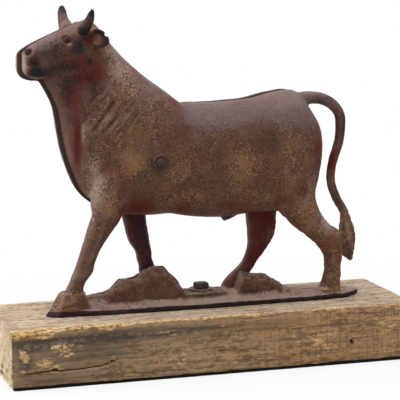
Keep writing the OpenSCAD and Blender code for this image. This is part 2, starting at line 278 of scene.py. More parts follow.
def addNode(tree, kind, inputs=None, **settings):
    node = tree.nodes.new(kind)
    for key, value in settings.items():
        setattr(node, key, value)
    for key, value in (inputs or {}).items():
        if isinstance(value, bpy.types.NodeSocket):
            tree.links.new(value, node.inputs[key])
        else:
            node.inputs[key].default_value = value
    return node


def combine(tree, operation, a, b, clamp=False):
    return addNode(tree, "ShaderNodeMath", {0: a, 1: b}, operation=operation, use_clamp=clamp).outputs[0]


def times(tree, value, *others):
    for other in others:
        value = combine(tree, "MULTIPLY", value, other)
    return value


def weighted(tree, *parts):
    # sum of values, each with its weight
    total = 0.0
    for value, weight in parts:
        total = combine(tree, "ADD", times(tree, value, weight), total)
    return total


def remap(tree, value, low, high, toLow=0.0, toHigh=1.0):
    return addNode(tree, "ShaderNodeMapRange", {0: value, 1: low, 2: high, 3: toLow, 4: toHigh},
                   interpolation_type="SMOOTHSTEP").outputs[0]


def blend(tree, factor, a, b):
    return addNode(tree, "ShaderNodeMix", {0: factor, 6: a, 7: b}, data_type="RGBA").outputs[2]


def noise(tree, vector, scale, detail=4.0, roughness=0.55, distortion=0.0):
    return addNode(tree, "ShaderNodeTexNoise", {"Vector": vector, "Scale": scale, "Detail": detail,
                                                "Roughness": roughness, "Distortion": distortion}).outputs[0]


def vectors(tree, operation, a, b=(0, 0, 0), result="Vector"):
    return addNode(tree, "ShaderNodeVectorMath", {0: a, 1: b}, operation=operation).outputs[result]


def mask(tree, name):
    return addNode(tree, "ShaderNodeAttribute", attribute_name=name).outputs["Fac"]


def startGroup(name, inputs):
    # each input by its name and kind of socket
    group = bpy.data.node_groups.new(name, "ShaderNodeTree")
    for key, kind in inputs.items():
        group.interface.new_socket(key, in_out="INPUT", socket_type="NodeSocket" + kind)
    return group, group.nodes.new("NodeGroupInput").outputs


def endGroup(group, results):
    # every result is a plain value
    for key in results:
        group.interface.new_socket(key, in_out="OUTPUT", socket_type="NodeSocketFloat")
    made = group.nodes.new("NodeGroupOutput").inputs
    for key, value in results.items():
        group.links.new(value, made[key])
    return group


def useGroup(tree, group, inputs):
    return addNode(tree, "ShaderNodeGroup", inputs, node_tree=group).outputs


def newMaterial(name, settings):
    material = bpy.data.materials.new(name)
    material.use_nodes = True
    tree = material.node_tree
    for key, value in settings.items():
        tree.nodes["Principled BSDF"].inputs[key].default_value = value
    return material, tree, tree.nodes.new("ShaderNodeTexCoord").outputs["Object"]


def finishMaterial(tree, inputs, height, strength, distance):
    # what the shader is given, and a bump from the height
    shader = tree.nodes["Principled BSDF"]
    bump = addNode(tree, "ShaderNodeBump", {"Height": height, "Strength": strength, "Distance": distance})
    for key, value in {**inputs, "Normal": bump.outputs[0]}.items():
        tree.links.new(value, shader.inputs[key])


def makeSandGrain():
    # grain of a sand mould: fine pits over slow swells, with blotches for colour
    group, given = startGroup("sandGrain", {"Vector": "Vector", "Scale": "Float"})
    v, scale = given["Vector"], given["Scale"]
    fine = noise(group, v, times(group, scale, 9.0), 3.0, 0.6)
    middle = noise(group, v, times(group, scale, 3.2), 5.0, 0.6)
    slow = noise(group, v, times(group, scale, 0.55), 5.0, 0.62, 0.4)
    return endGroup(group, {
        "Height": weighted(group, (fine, 0.45), (middle, 0.7)), "Fleck": remap(group, fine, 0.52, 0.72),
        "Fine": remap(group, fine, 0.36, 0.64), "Blotch": remap(group, middle, 0.36, 0.64),
        "Patch": remap(group, slow, 0.38, 0.62)})


def makeEdgeWear():
    # splits a relief mask round 0.5 into worn high edges and hollows for painted shade, broken up by a noise
    group, given = startGroup("edgeWear", {"Relief": "Float", "Break": "Float"})
    broken = times(group, combine(group, "SUBTRACT", given["Break"], 0.5), 0.12)
    relief = combine(group, "ADD", given["Relief"], broken)
    return endGroup(group, {"Edge": remap(group, relief, 0.46, 0.2), "Hollow": remap(group, relief, 0.55, 0.85)})


sandGrain = makeSandGrain()
edgeWear = makeEdgeWear()

castingFinish = {
    "iron": (0.206, 0.097, 0.075, 1), "ochreIron": (0.215, 0.122, 0.070, 1), "darkIron": (0.066, 0.028, 0.021, 1),
    # the pale mauve-grey is painted sheen
    "rust": (0.300, 0.148, 0.060, 1), "red": (0.125, 0.020, 0.016, 1), "paintedSheen": (0.160, 0.116, 0.120, 1),
    # the pale tan is dust with painted light and highlights, and the near-black is dark paint with painted shade
    "dustAndPaintedLight": (0.470, 0.345, 0.285, 1), "darkAndPaintedShade": (0.020, 0.015, 0.020, 1), "fleck": (0.540, 0.350, 0.200, 1),
    # the near-black brown for hollows is painted shade, and the dark brown for the parting faces is painted shade
    # between the halves
    "worn": (0.340, 0.240, 0.200, 1), "grime": (0.018, 0.010, 0.008, 1), "band": (0.090, 0.062, 0.052, 1),
    "grainScale": 150.0, "wornShare": 0.3, "hollowShadeShare": 0.6,
    # coats from the lowest up: mask, where it starts and is full, strength, how far the blotches eat into it
    "coats": [("rust", 0.1, 0.9, 0.85, 1.0), ("dustAndPaintedLight", 0.15, 0.95, 0.9, 0.8), ("paintedSheen", 0.1, 0.85, 0.85, 0.8),
              ("red", 0.1, 0.85, 0.92, 0.9), ("darkAndPaintedShade", 0.15, 1.0, 0.92, 0.9)],
}


def makeCastingMaterial(finish):
    material, tree, coords = newMaterial("oldCastIron", {"Specular IOR Level": 0.05, "Metallic": 0.0})
    masks = {key: mask(tree, key) for key in ("relief", "rust", "dustAndPaintedLight", "paintedSheen", "red", "darkAndPaintedShade", "seam")}
    grain = useGroup(tree, sandGrain, {"Vector": coords, "Scale": finish["grainScale"]})
    wear = useGroup(tree, edgeWear, {"Relief": masks["relief"], "Break": grain["Blotch"]})
    broken = weighted(tree, (grain["Blotch"], 0.65), (grain["Patch"], 0.35))
    speckled = weighted(tree, (grain["Fine"], 0.45), (broken, 0.55))
    iron = blend(tree, grain["Patch"], finish["iron"], finish["ochreIron"])
    colour = blend(tree, speckled, finish["darkIron"], iron)
    for name, low, high, strength, torn in finish["coats"]:
        eaten = times(tree, combine(tree, "SUBTRACT", broken, 0.5), torn)
        cover = remap(tree, combine(tree, "ADD", masks[name], eaten), low, high)
        colour = blend(tree, times(tree, cover, strength), colour, finish[name])
    # flecks of rust and worn edges show where neither the near-black coat nor red covers the iron
    paint = combine(tree, "MAXIMUM", masks["darkAndPaintedShade"], combine(tree, "SUBTRACT", masks["red"], masks["rust"]))
    clear = combine(tree, "SUBTRACT", 1.0, paint, True)
    light = combine(tree, "MAXIMUM", grain["Fleck"], remap(tree, grain["Blotch"], 0.8, 1.0))
    share = remap(tree, masks["rust"], 0.0, 1.0, 0.22, 0.75)
    for factor, name in ((times(tree, light, clear, share), "fleck"),
                         (times(tree, wear["Edge"], clear, finish["wornShare"]), "worn"),
                         # hollows take painted shade, and the parting faces by the seam painted shade between the
                         # halves
                         (times(tree, wear["Hollow"], finish["hollowShadeShare"]), "grime"), (masks["seam"], "band")):
        colour = blend(tree, factor, colour, finish[name])
    polish = combine(tree, "SUBTRACT", combine(tree, "MAXIMUM", masks["paintedSheen"], masks["darkAndPaintedShade"]), masks["dustAndPaintedLight"])
    rough = weighted(tree, (remap(tree, grain["Blotch"], 0.0, 1.0, 0.56, 0.46), 1.0), (polish, -0.1))
    finishMaterial(tree, {"Base Color": colour, "Roughness": rough}, grain["Height"], 0.7, 0.0015)
    return material


timberFinish = {
    "dark": (0.205, 0.132, 0.080, 1), "tan": (0.640, 0.415, 0.212, 1), "grey": (0.420, 0.320, 0.225, 1),
    "ochre": (0.780, 0.500, 0.215, 1), "warm": (0.780, 0.400, 0.160, 1), "stain": (0.110, 0.086, 0.074, 1),
    # the near-black crack colour is painted shade in cracks and hollows
    "fresh": (0.900, 0.730, 0.510, 1), "endDark": (0.420, 0.280, 0.150, 1), "crackShade": (0.022, 0.014, 0.010, 1),
    "top": (0.700, 0.545, 0.400, 1), "topDark": (0.250, 0.175, 0.115, 1), "wornDark": (0.300, 0.165, 0.070, 1),
    "pith": (0.0, 0.055, -0.050), "ring": 0.0052, "ringWobble": 0.018,
}


def makeWoodGrain(ringWobble):
    # fibres along x, growth rings round a pith line, saw marks across the grain, crumbs of old surface
    group, given = startGroup("woodGrain", {"Vector": "Vector", "Pith": "Vector", "Ring": "Float"})
    v = given["Vector"]

    def streaks(stretch, *settings):
        return noise(group, vectors(group, "MULTIPLY", v, stretch), 1.0, *settings)

    fibre = streaks((22, 360, 360), 5.0, 0.65)
    crumb = streaks((190, 420, 420), 5.0, 0.7)
    blotch = streaks((26, 60, 60), 6.0, 0.65, 0.8)
    saw = streaks((520, 14, 20), 3.0, 0.6)
    away = vectors(group, "MULTIPLY", vectors(group, "SUBTRACT", v, given["Pith"]), (0, 1, 1))
    far = weighted(group, (vectors(group, "LENGTH", away, result="Value"), 1.0),
                   (streaks((5, 22, 22), 3.0, 0.55), ringWobble))
    turn = times(group, combine(group, "DIVIDE", far, given["Ring"]), 2 * math.pi)
    rings = combine(group, "ADD", times(group, combine(group, "SINE", turn, 0.0), 0.5), 0.5)
    return endGroup(group, {
        "Fibre": remap(group, fibre, 0.33, 0.68), "Rings": rings, "Saw": remap(group, saw, 0.4, 0.66),
        "Blotch": remap(group, blotch, 0.36, 0.64), "Crumb": remap(group, crumb, 0.36, 0.66)})


def makeTimberMaterial(finish):
    material, tree, coords = newMaterial("barnTimber", {"Specular IOR Level": 0.06})
    grain = useGroup(tree, makeWoodGrain(finish["ringWobble"]),
                     {"Vector": coords, "Pith": finish["pith"], "Ring": finish["ring"]})
    wear = useGroup(tree, edgeWear, {"Relief": mask(tree, "relief"), "Break": grain["Fibre"]})

    def tones(low, high, **weights):
        # weighted sum of the grain's values, spread from low to high
        parts = ((grain[name.capitalize()], weight) for name, weight in weights.items())
        return remap(tree, weighted(tree, *parts), low, high)

    def ragged(name, low, high):
        # a mask from the mesh with a torn border
        torn = weighted(tree, (mask(tree, name), 1.0), (grain["Crumb"], 0.45), (grain["Blotch"], 0.35),
                        (grain["Fibre"], 0.2))
        return remap(tree, torn, low + 0.5, high + 0.5)

    tone = tones(0.2, 0.8, crumb=0.4, fibre=0.3, rings=0.12, blotch=0.18)
    warm = mask(tree, "warm")
    normal = tree.nodes.new("ShaderNodeNewGeometry").outputs["True Normal"]
    above = remap(tree, addNode(tree, "ShaderNodeSeparateXYZ", {0: normal}).outputs[2], 0.6, 0.95)
    top = blend(tree, tones(0.1, 0.8, fibre=0.4, crumb=0.4, blotch=0.2), finish["topDark"], finish["top"])
    ochre = blend(tree, remap(tree, grain["Crumb"], 0.1, 0.6), finish["wornDark"], finish["ochre"])
    ochre = blend(tree, tones(0.6, 0.95, crumb=0.5, fibre=0.5), ochre, finish["fresh"])
    end = blend(tree, tones(0.1, 0.7, rings=0.3, crumb=0.3, blotch=0.4), finish["endDark"], finish["fresh"])
    colour = blend(tree, tone, finish["dark"], finish["tan"])
    for factor, over in (
            (times(tree, grain["Blotch"], 0.3), finish["grey"]),
            (times(tree, warm, combine(tree, "ADD", times(tree, tone, 0.7), 0.05), 0.85), finish["warm"]),
            (times(tree, grain["Saw"], warm, 0.45), finish["dark"]),
            (times(tree, ragged("stain", 0.2, 0.8), remap(tree, tone, 0.2, 0.95, 1.0, 0.6)), finish["stain"]),
            (above, top), (ragged("worn", 0.38, 0.6), ochre), (mask(tree, "fresh"), end),
            # painted shade in cracks and hollows
            (times(tree, wear["Hollow"], 0.9), finish["crackShade"])):
        colour = blend(tree, factor, colour, over)
    rough = remap(tree, grain["Fibre"], 0.0, 1.0, 0.88, 0.7)
    height = weighted(tree, (grain["Fibre"], 0.7), (grain["Crumb"], 0.6), (grain["Saw"], 0.3))
    finishMaterial(tree, {"Base Color": colour, "Roughness": rough}, height, 0.5, 0.0008)
    return material


steelFinish = {
    "agedSteel": {"dark": (0.030, 0.019, 0.016, 1), "light": (0.105, 0.070, 0.058, 1),
                  "rust": (0.085, 0.036, 0.022, 1), "rusty": 0.7, "specular": 0.14},
    "dullWasher": {"dark": (0.075, 0.058, 0.048, 1), "light": (0.200, 0.160, 0.135, 1),
                   "rust": (0.13, 0.078, 0.045, 1), "rusty": 0.5, "specular": 0.2},
    "rustyRivet": {"dark": (0.060, 0.026, 0.019, 1), "light": (0.160, 0.076, 0.048, 1),
                   "rust": (0.125, 0.048, 0.026, 1), "rusty": 0.6, "specular": 0.1},
}


def makeSteelMaterial(name, finish):
    material, tree, coords = newMaterial(name, {"Specular IOR Level": finish["specular"], "Metallic": 0.0})
    grain = useGroup(tree, sandGrain, {"Vector": coords, "Scale": 210.0})
    colour = blend(tree, grain["Blotch"], finish["dark"], finish["light"])
    colour = blend(tree, times(tree, grain["Patch"], finish["rusty"]), colour, finish["rust"])
    colour = blend(tree, times(tree, grain["Fleck"], 0.3), colour, finish["light"])
    rough = remap(tree, grain["Blotch"], 0.0, 1.0, 0.6, 0.42)
    finishMaterial(tree, {"Base Color": colour, "Roughness": rough}, grain["Height"], 0.4, 0.0004)
    return material


feltFinish = {"dark": (0.008, 0.007, 0.007, 1), "light": (0.030, 0.026, 0.024, 1), "lint": (0.05, 0.042, 0.035, 1)}


def makeFeltMaterial(finish):
    material, tree, coords = newMaterial("blackFelt", {"Specular IOR Level": 0.1, "Roughness": 0.95,
                                                       "Sheen Weight": 0.25, "Sheen Roughness": 0.5})
    hair = noise(tree, vectors(tree, "MULTIPLY", coords, (900, 900, 500)), 1.0, 5.0, 0.7, 1.2)
    slow = noise(tree, coords, 60.0, 3.0)
    colour = blend(tree, remap(tree, hair, 0.35, 0.7), finish["dark"], finish["light"])
    colour = blend(tree, times(tree, remap(tree, slow, 0.5, 0.7), 0.4), colour, finish["lint"])
    finishMaterial(tree, {"Base Color": colour}, hair, 0.7, 0.0006)
    return material


ironMaterial = makeCastingMaterial(castingFinish)
timberMaterial = makeTimberMaterial(timberFinish)
steelMaterial, washerMaterial, rivetMaterial = (makeSteelMaterial(*item) for item in steelFinish.items())
feltMaterial = makeFeltMaterial(feltFinish)
print("materials ready")


fasteners = {
    "count": 96, "bolt": 4.75, "gap": 0.4, "headHalf": 6.75, "headHigh": 6.5, "nutHalf": 8.5, "nutHigh": 8.0,
    "washer": 13.5, "washerThick": 2.0, "rivet": 3.5, "rivetHead": 5.5, "rivetDeep": 3.0, "rivetEnd": 28.0,
    "bodySeat": 40.0, "bodyLong": 90.0, "baseLong": 76.0, "pocket": 17.0, "pocketTop": 16.0,
    "bodyPlace": (-51, 0, 225), "rivetPlace": (-110, 0, 302), "basePlace": (4, 0, 80),
}

# the two halves of the bull
# x along the bull, heights above the deck, distances out from the seam

bull = {
    # upper x, z, lower x, z, half-width, squareness
    "trunk": [
        [141, 172, 139, 150, 10, 2.2], [137, 190, 132, 126, 26, 2.3], [128, 207, 121, 108, 34, 2.4],
        [112, 227, 105, 98, 38, 2.5], [88, 227, 84, 97, 38, 2.5], [60, 221, 58, 97, 37, 2.5],
        [28, 219, 27, 94, 38, 2.5], [-4, 219, -8, 97, 39, 2.5], [-17, 220, -30, 101, 40, 2.5],
        [-38, 236, -58, 101, 40, 2.5], [-58, 251, -88, 105, 40, 2.5], [-76, 267, -112, 117, 37, 2.5],
        [-88, 280, -128, 134, 33, 2.6], [-96, 290, -140, 166, 30, 2.7], [-102, 298, -145, 190, 28, 2.7],
        [-108, 303, -149, 216, 26, 2.6], [-114, 304, -155, 232, 23, 2.5], [-122, 302, -164, 248, 16, 2.4]],
    "head": [
        [-103, 300, -103, 268, 12, 2.2], [-110, 307.5, -109, 250, 22, 2.3], [-119, 310.5, -118, 236, 26, 2.4],
        [-134, 305, -130, 238, 24, 2.5], [-150, 298.5, -145, 246, 19, 2.6], [-165, 292, -161, 250, 15.5, 2.8],
        [-177, 286, -173, 250.5, 14.5, 3], [-184, 281, -182, 254, 12.5, 3], [-186, 278, -186, 260, 9, 2.8]],
    # x, out, z, half-height, half-thickness
    "ear": [[-117, 18, 294, 5, 4], [-112, 27, 294, 8.6, 3.4], [-107.5, 35, 292, 9.6, 2.8], [-104.5, 41, 290, 6.4, 2.2],
            [-103.5, 43.5, 289, 2, 1.2]],
    # x, out, z, radius
    "sheath": [[44, 0, 101, 6.5], [35, 0, 95.5, 5.6], [29, 0, 91.5, 3.4]],
    # x, plate half-width, rock foot, its height, rock top half-width, its height
    "plate": [
        [-161, 8, 4, 4.6, 2, 5], [-156, 20, 8, 6, 6, 8], [-128, 25, 14, 9, 8, 17], [-104, 27, 14, 9, 7, 19],
        [-96, 27.5, 14, 9, 7, 24], [-86, 28, 15, 9.5, 8, 32], [-69, 29, 16, 9.5, 8, 34],
        [-53, 30, 16, 9.5, 9, 43.5], [-39, 30.5, 16, 9.5, 9, 43], [-25, 31, 15, 9.5, 9, 29.5],
        [-21, 31, 15, 9.5, 10, 22], [-14, 31, 15, 9.5, 14, 15], [22, 31, 15, 9.5, 14, 15],
        [40, 31, 14, 9.5, 11, 12], [50, 31, 13, 9, 6, 33], [60, 31, 13, 9, 7, 29.5], [73, 31, 13, 9, 7, 28.5],
        [91, 30.5, 13, 8.5, 8, 19], [97, 30.5, 13, 8, 9, 12], [107, 30, 13, 7.5, 10, 9.5],
        [137, 29.5, 12, 6.5, 8, 7.5], [162, 26, 9, 6, 6, 6.5], [176, 15, 5, 5.4, 3, 5.8], [182, 6, 2, 4.6, 1, 5]],
    "plateEdge": 5.0, "rockBevel": 6.0, "limbSquareness": 2.3, "voxel": 1.0, "mostTriangles": 192000,
    "seam": 0.2, "seamWave": 0.35,
    # bar that cuts the ear's notch: start, end, radius
    "notch": ((-107.1, -51.5, 360.9), (-100.6, -24.4, 359.2), 2.1),
    # how far the borders of each kind of patch wander
    "drift": {"red": 0.38, "rust": 0.3, "dustAndPaintedLight": 0.16, "paintedSheen": 0.2, "darkAndPaintedShade": 0.26},
}

leftHalf = {
    # the pale mauve-grey in the horn's tint is painted sheen
    "lead": 0.0, "lift": 0.0, "headDrop": 0.0, "seed": 11, "hornTint": {"darkAndPaintedShade": 0.7, "paintedSheen": 0.3},
    # height, x, out, half-length, half-width
    "foreleg": [[168, -84, 24, 26, 12], [140, -92, 24, 26, 15], [120, -99, 22, 22, 15], [107, -103, 20, 16.5, 15],
                [97, -107, 18, 15.5, 13.5], [82, -114.5, 16, 12.5, 11.5], [69, -121, 15, 10.5, 10],
                [55, -126.5, 14, 9.6, 9], [47, -129, 14, 10.4, 9.4], [43, -131, 14, 10, 9.4],
                [35, -135.6, 13.5, 8.6, 8.4], [28, -138.6, 13, 9.0, 8.4], [20, -139.6, 13, 9.8, 8.6]],
    "hindLeg": [[170, 102, 22, 28, 15], [140, 103, 22, 29, 18], [118, 103, 21, 24.5, 17],
                [100, 109, 20, 22.5, 16.5], [89, 118, 18.5, 20.5, 15], [80, 126, 17.5, 20, 13.5],
                [73, 136, 17, 21, 13], [60, 145, 16, 14, 11], [48, 150, 15, 10.5, 10], [36, 150, 15, 9, 9],
                [24, 149, 15, 9.5, 9.5], [14, 147, 14.5, 11, 10], [9, 145, 14, 13, 11], [4, 144, 14, 14, 11.5],
                [1, 144, 14, 14, 11.5]],
    "horn": [[-127, 18, 299, 7.5], [-125, 29, 304, 6.2], [-122, 39, 312, 4.8], [-121, 45, 319, 3.4],
             [-120.5, 47, 323.6, 1.6]],
    # height, heel x, cheek x, toe x, out, half-width
    "hoof": [[25, -129, -150, -156, 12.5, 9], [22, -128.5, -152, -158, 12.5, 9.8],
             [0.3, -122.5, -159, -171.5, 12.5, 10.8]],
    # x, out, z, radius
    "tail": [[108, 4, 216, 8], [126, 5, 219, 7.2], [142, 5.5, 217.5, 6.5], [155, 5.5, 210, 6],
             [163, 5.5, 197, 5.6], [162, 5.5, 172, 5.4], [154, 5.5, 147, 5.2], [152, 5.5, 126, 5],
             [159, 5.5, 106, 4.8], [167, 6, 92, 5], [168.5, 8, 74, 8.5], [167, 9, 60, 10.5], [170, 9, 48, 7.5],
             [174.5, 8, 38, 2]],
    "tuft": {"x": 168, "out": 8.5, "strands": 5, "twist": 0.12, "height": 0.75},
    # sinews and hollows of the legs: path of x and z, width, height
    "legLines": [
        ([(-94, 152), (-103, 116), (-112, 88), (-121, 66), (-128, 46)], 3.0, 0.9),
        ([(-88, 118), (-98, 96), (-108, 80)], 4.0, -0.7), ([(-126, 50), (-131, 44), (-134, 40)], 3.0, 0.7),
        ([(112, 104), (124, 90), (136, 76)], 4.0, -0.9), ([(142, 66), (147, 50), (148, 34)], 3.0, 0.8),
        ([(152, 62), (155, 48), (154, 30)], 2.2, -0.7)],
}

rightHalf = {
    "lead": 5.0, "lift": 0.6, "headDrop": -2.0, "seed": 53,
    # the pale mauve-grey in the horn's tint is painted sheen
    "hornTint": {"red": 0.35, "paintedSheen": 0.4, "darkAndPaintedShade": 0.6},
    "foreleg": [[165, -75, 22, 24, 13], [130, -72, 22, 20, 15], [108, -67, 20, 15, 14], [97, -65, 18, 13, 12.5],
                [72, -61, 16, 11.5, 10.5], [59, -56, 15, 8.5, 9], [51, -55, 15, 8, 8.5], [44, -53, 15, 8.5, 9],
                [32, -49, 15, 11, 10]],
    "hindLeg": [[165, 98, 22, 30, 15], [130, 92, 22, 26, 17], [108, 82, 20, 21, 16], [95, 79, 18, 17.5, 14.5],
                [70, 78, 16, 15.5, 12], [56, 73, 15, 11, 10.5], [42, 65, 15, 8.5, 9], [33, 58, 15, 9.5, 9],
                [24, 50, 15, 11.5, 9.5], [15, 46, 15, 14, 10.5], [4, 45, 15, 15, 11], [1, 45, 15, 15, 11]],
    "horn": [[-132, 18, 298, 8.5], [-132.5, 28, 303, 7.4], [-133, 37, 310, 5.8], [-132.5, 43, 318, 4.5],
             [-132, 45, 323.4, 2.4]],
    "stone": [[33, -46, 14, 10, 9], [22, -46, 14, 15, 12], [0.3, -47, 13, 20, 14]],
}

# marks of the face, neck and shoulder in side view: path of x and z, width, height
hideLines = [
    ([(-108, 240), (-121, 226), (-131, 214)], 1.7, -0.8), ([(-98, 238), (-111, 226), (-124, 210)], 1.7, -1.0),
    ([(-93, 230), (-108, 211), (-122, 193)], 1.8, -1.1), ([(-79, 229), (-95, 211), (-112, 191)], 1.8, -1.0),
    ([(-67, 220), (-78, 206), (-91, 190)], 1.8, -0.8), ([(-104, 234), (-115, 221), (-127, 205)], 1.9, 0.6),
    ([(-88, 228), (-102, 210), (-117, 192)], 2.0, 0.7), ([(-73, 224), (-88, 206), (-102, 189)], 2.0, 0.6),
    ([(-118, 222), (-128, 207), (-133, 190), (-133, 172), (-130, 154), (-123, 138)], 3.4, -1.5),
    ([(-112, 212), (-122, 195), (-125, 175), (-122, 155), (-115, 138)], 5.0, 1.4),
    # brow, lids and wrinkles
    ([(-153, 297), (-146, 298.8), (-139, 299), (-134, 297.6)], 2.6, 0.7),
    ([(-149.6, 293), (-145, 296), (-140, 296.4), (-135.6, 292.8)], 1.1, 0.9),
    ([(-149.6, 292), (-145.4, 288.2), (-140.6, 286.6), (-136, 289.6)], 1.1, 0.7),
    ([(-157, 283), (-150, 285), (-144, 284.3)], 0.9, -0.5),
    ([(-155, 279.6), (-148, 282), (-141.5, 281.6)], 0.9, -0.55),
    ([(-152, 276.5), (-145, 279), (-139, 278.6)], 0.9, -0.5),
    ([(-150, 273.2), (-143, 275.8), (-137, 275.6)], 0.9, -0.4),
    # nostril and its rim
    ([(-183.6, 276), (-180.6, 279.8), (-177.6, 282.8)], 1.9, -2.6),
    ([(-181.5, 273.8), (-176.9, 276.6), (-174.8, 280.5), (-175.8, 284.6)], 1.5, 0.9),
    # mouth and lips
    ([(-187, 268.4), (-183.2, 267.7), (-176, 266.6), (-170.5, 266.4)], 0.8, -0.6),
    ([(-187, 265), (-181, 264.2), (-174, 263), (-168, 262.8)], 1.8, 0.3),
    # cheek against the neck
    ([(-116, 283), (-112.5, 269), (-113, 255), (-119, 243), (-128, 236)], 5.0, -0.7),
]

# x, z, reach along, reach up, height
hideMounds = [
    (-142.6, 291.6, 8, 6.5, -1.4), (-128, 262, 13, 15, 1.4), (-139.4, 286.2, 1.8, 1.6, 0.9),
    (-179, 259, 7, 6, 0.7), (-150, 270, 12, 9, -0.9), (-98, 172, 20, 32, 1.6), (-88, 122, 12, 10, 1.2),
    (97, 155, 26, 36, 1.6), (64, 160, 10, 36, -1.6), (96, 213, 16, 9, 1.0), (22, 160, 9, 34, -0.7),
    (127, 185, 12, 16, 0.8), (-60, 232, 22, 12, 0.8),
]

eyeBall = {"x": -141.4, "z": 291.6, "radius": 3.4, "height": 2.3}
rivetSpot = {"radius": 7.5, "depth": 2.4}
neckFolds = {"along": (0.656, 0.755), "length": 22.0, "width": 2.7, "height": 0.65, "place": (-96, 212, 24, 26, 1.0)}

# places of paint, rust and dust, and of painted sheen, highlights and shade, in side view, in the same terms as the
# mounds
patches = {
    "red": [(-135, 180, 5, 40, 0.9), (-130, 269, 20, 8, 0.5), (-111, 263, 8, 11, 0.95), (-129, 262, 19, 17, 0.6),
            (-119, 291, 7, 7, 0.6), (-139, 230, 11, 20, 0.75), (-122, 251, 14, 8, 0.6), (-30, 110, 40, 8, 0.4),
            (30, 110, 30, 7, 0.35), (-72, 116, 20, 10, 0.5), (-5, 196, 22, 6, 0.25), (48, 194, 20, 6, 0.25),
            (110, 190, 14, 8, 0.25), (128, 160, 6, 26, 0.6), (158, 190, 4, 24, 0.75), (151, 150, 4, 18, 0.7),
            (107, 121, 8, 12, 0.95), (-98, 14, 24, 8, 0.2), (-150, 301, 14, 3.5, 0.5), (65, 222, 20, 4, 0.2),
            (-90, 100, 6, 24, 0.45), (126, 84, 11, 10, 0.45), (144, 62, 14, 18, 0.6), (100, 96, 12, 9, 0.5),
            (84, 72, 12, 30, 0.5), (-20, 226, 16, 6, 0.4), (-156, 286, 18, 8, 0.35), (-92, 145, 12, 26, 0.3),
            (-5, 165, 12, 30, 0.3), (72, 140, 14, 34, 0.3), (20, 130, 30, 10, 0.25)],
    "rust": [(-75, 165, 14, 22, 0.6), (-28, 150, 18, 22, 0.5), (40, 150, 18, 24, 0.6), (98, 160, 20, 28, 0.6),
             (-10, 124, 24, 8, 0.4), (60, 118, 24, 8, 0.4), (-60, 200, 36, 20, 0.4), (-80, 240, 24, 26, 0.35),
             (-146, 12, 16, 12, 0.5), (-50, 22, 50, 18, 0.2), (75, 18, 40, 12, 0.2), (146, 8, 18, 8, 0.9),
             (142, 66, 22, 26, 0.95), (-104, 120, 14, 30, 0.5), (112, 110, 24, 24, 0.85), (-167, 267, 6, 6, 0.4),
             # the spot at -139.2, 286 is a painted highlight on the eye
             (-139.2, 286, 1.9, 2.0, 1.3), (-131, 297, 3, 3, 0.7), (88, 66, 7, 28, 0.8), (-112, 302, 8, 5, 0.6)],
    # the streak at -120, 158, -113, 134 and -129, 197 is a painted highlight along the front of the shoulder
    "dustAndPaintedLight": [(-88, 268, 18, 28, 0.5), (-66, 240, 24, 22, 0.35), (-120, 158, 7, 26, 0.65), (-113, 134, 8, 20, 0.5),
             (-129, 197, 3, 16, 0.6), (101, 213, 26, 16, 0.75), (-112, 110, 6, 34, 0.15), (-128, 58, 5, 40, 0.12),
             (116, 122, 15, 20, 0.4), (141, 83, 17, 18, 0.85), (-112, 303, 8, 5, 0.35), (-186, 264, 3, 16, 1.1),
             (-150, 12, 16, 12, 0.25), (-174, 252.5, 12, 2, 0.6), (-96, 205, 18, 18, 0.25), (148, 40, 6, 20, 0.3),
             # the spots at -177, 276.5 and -178, 263.8 are painted highlights on the nostril's rim and the lip
             (-149, 291.5, 2, 3.5, 0.5), (-177, 276.5, 3, 2, 0.5), (-178, 263.8, 7, 1.2, 0.5)],
    # painted sheen on the upper back, rump, face and forehead
    "paintedSheen": [(40, 210, 85, 18, 0.75), (112, 210, 30, 20, 0.8), (-40, 240, 30, 14, 0.4), (-168, 286, 12, 6, 0.8),
              (-157, 291, 12, 5, 0.5), (-160, 280, 18, 12, 0.3), (52, 202, 70, 11, 0.3), (-137, 300, 12, 5, 0.25),
              (155, 212, 16, 10, 0.4)],
    # dark paint, with painted shade in the places named below
    "darkAndPaintedShade": [(-176, 268, 6, 8, 1.0), (-173, 257.5, 10, 5, 0.95), (-131.5, 284, 6, 7, 0.8), (-142, 263.5, 14, 4, 0.5),
              (-136, 254, 26, 8, 0.3), (-158, 283, 22, 11, 0.3), (-119, 269, 4, 4, 0.7), (-118, 296, 6, 5, 0.4),
              # the bands at x 74 and 14 are painted shade in hollows of the flank
              (74, 165, 8, 36, 0.3), (14, 165, 6, 32, 0.3), (-118, 230, 6, 14, 0.7), (-142, 240, 16, 13, 0.42),
              # the nostril takes painted shade; the mound at -139.2, 286 clears the eye for its painted highlight
              (-141.4, 292, 2.7, 2.7, 1.3), (-139.2, 286, 2.2, 2.2, -1.4), (-181.2, 280, 2.8, 3.0, 1.7),
              # the ring at -51, 162 is painted shade round the nut
              (-143, 212, 6, 34, 0.5), (-51, 162, 12, 12, 0.5), (-20, 165, 5, 28, 0.25), (-40, 188, 10, 8, 0.3),
              # the patch at 34, 95 is painted shade under the belly at the sheath
              (120, 176, 5, 20, 0.3), (34, 95, 12, 6, 1.0), (95, 112, 10, 14, 0.4), (150, 218, 18, 9, 0.75),
              (167, 190, 6, 26, 0.7), (159, 150, 7, 22, 0.55), (159, 112, 9, 22, 0.6), (-146, 270, 30, 22, 0.5),
              # painted shade round the rivet's recess
              (-111, 239, 8, 8, 0.6)],
}


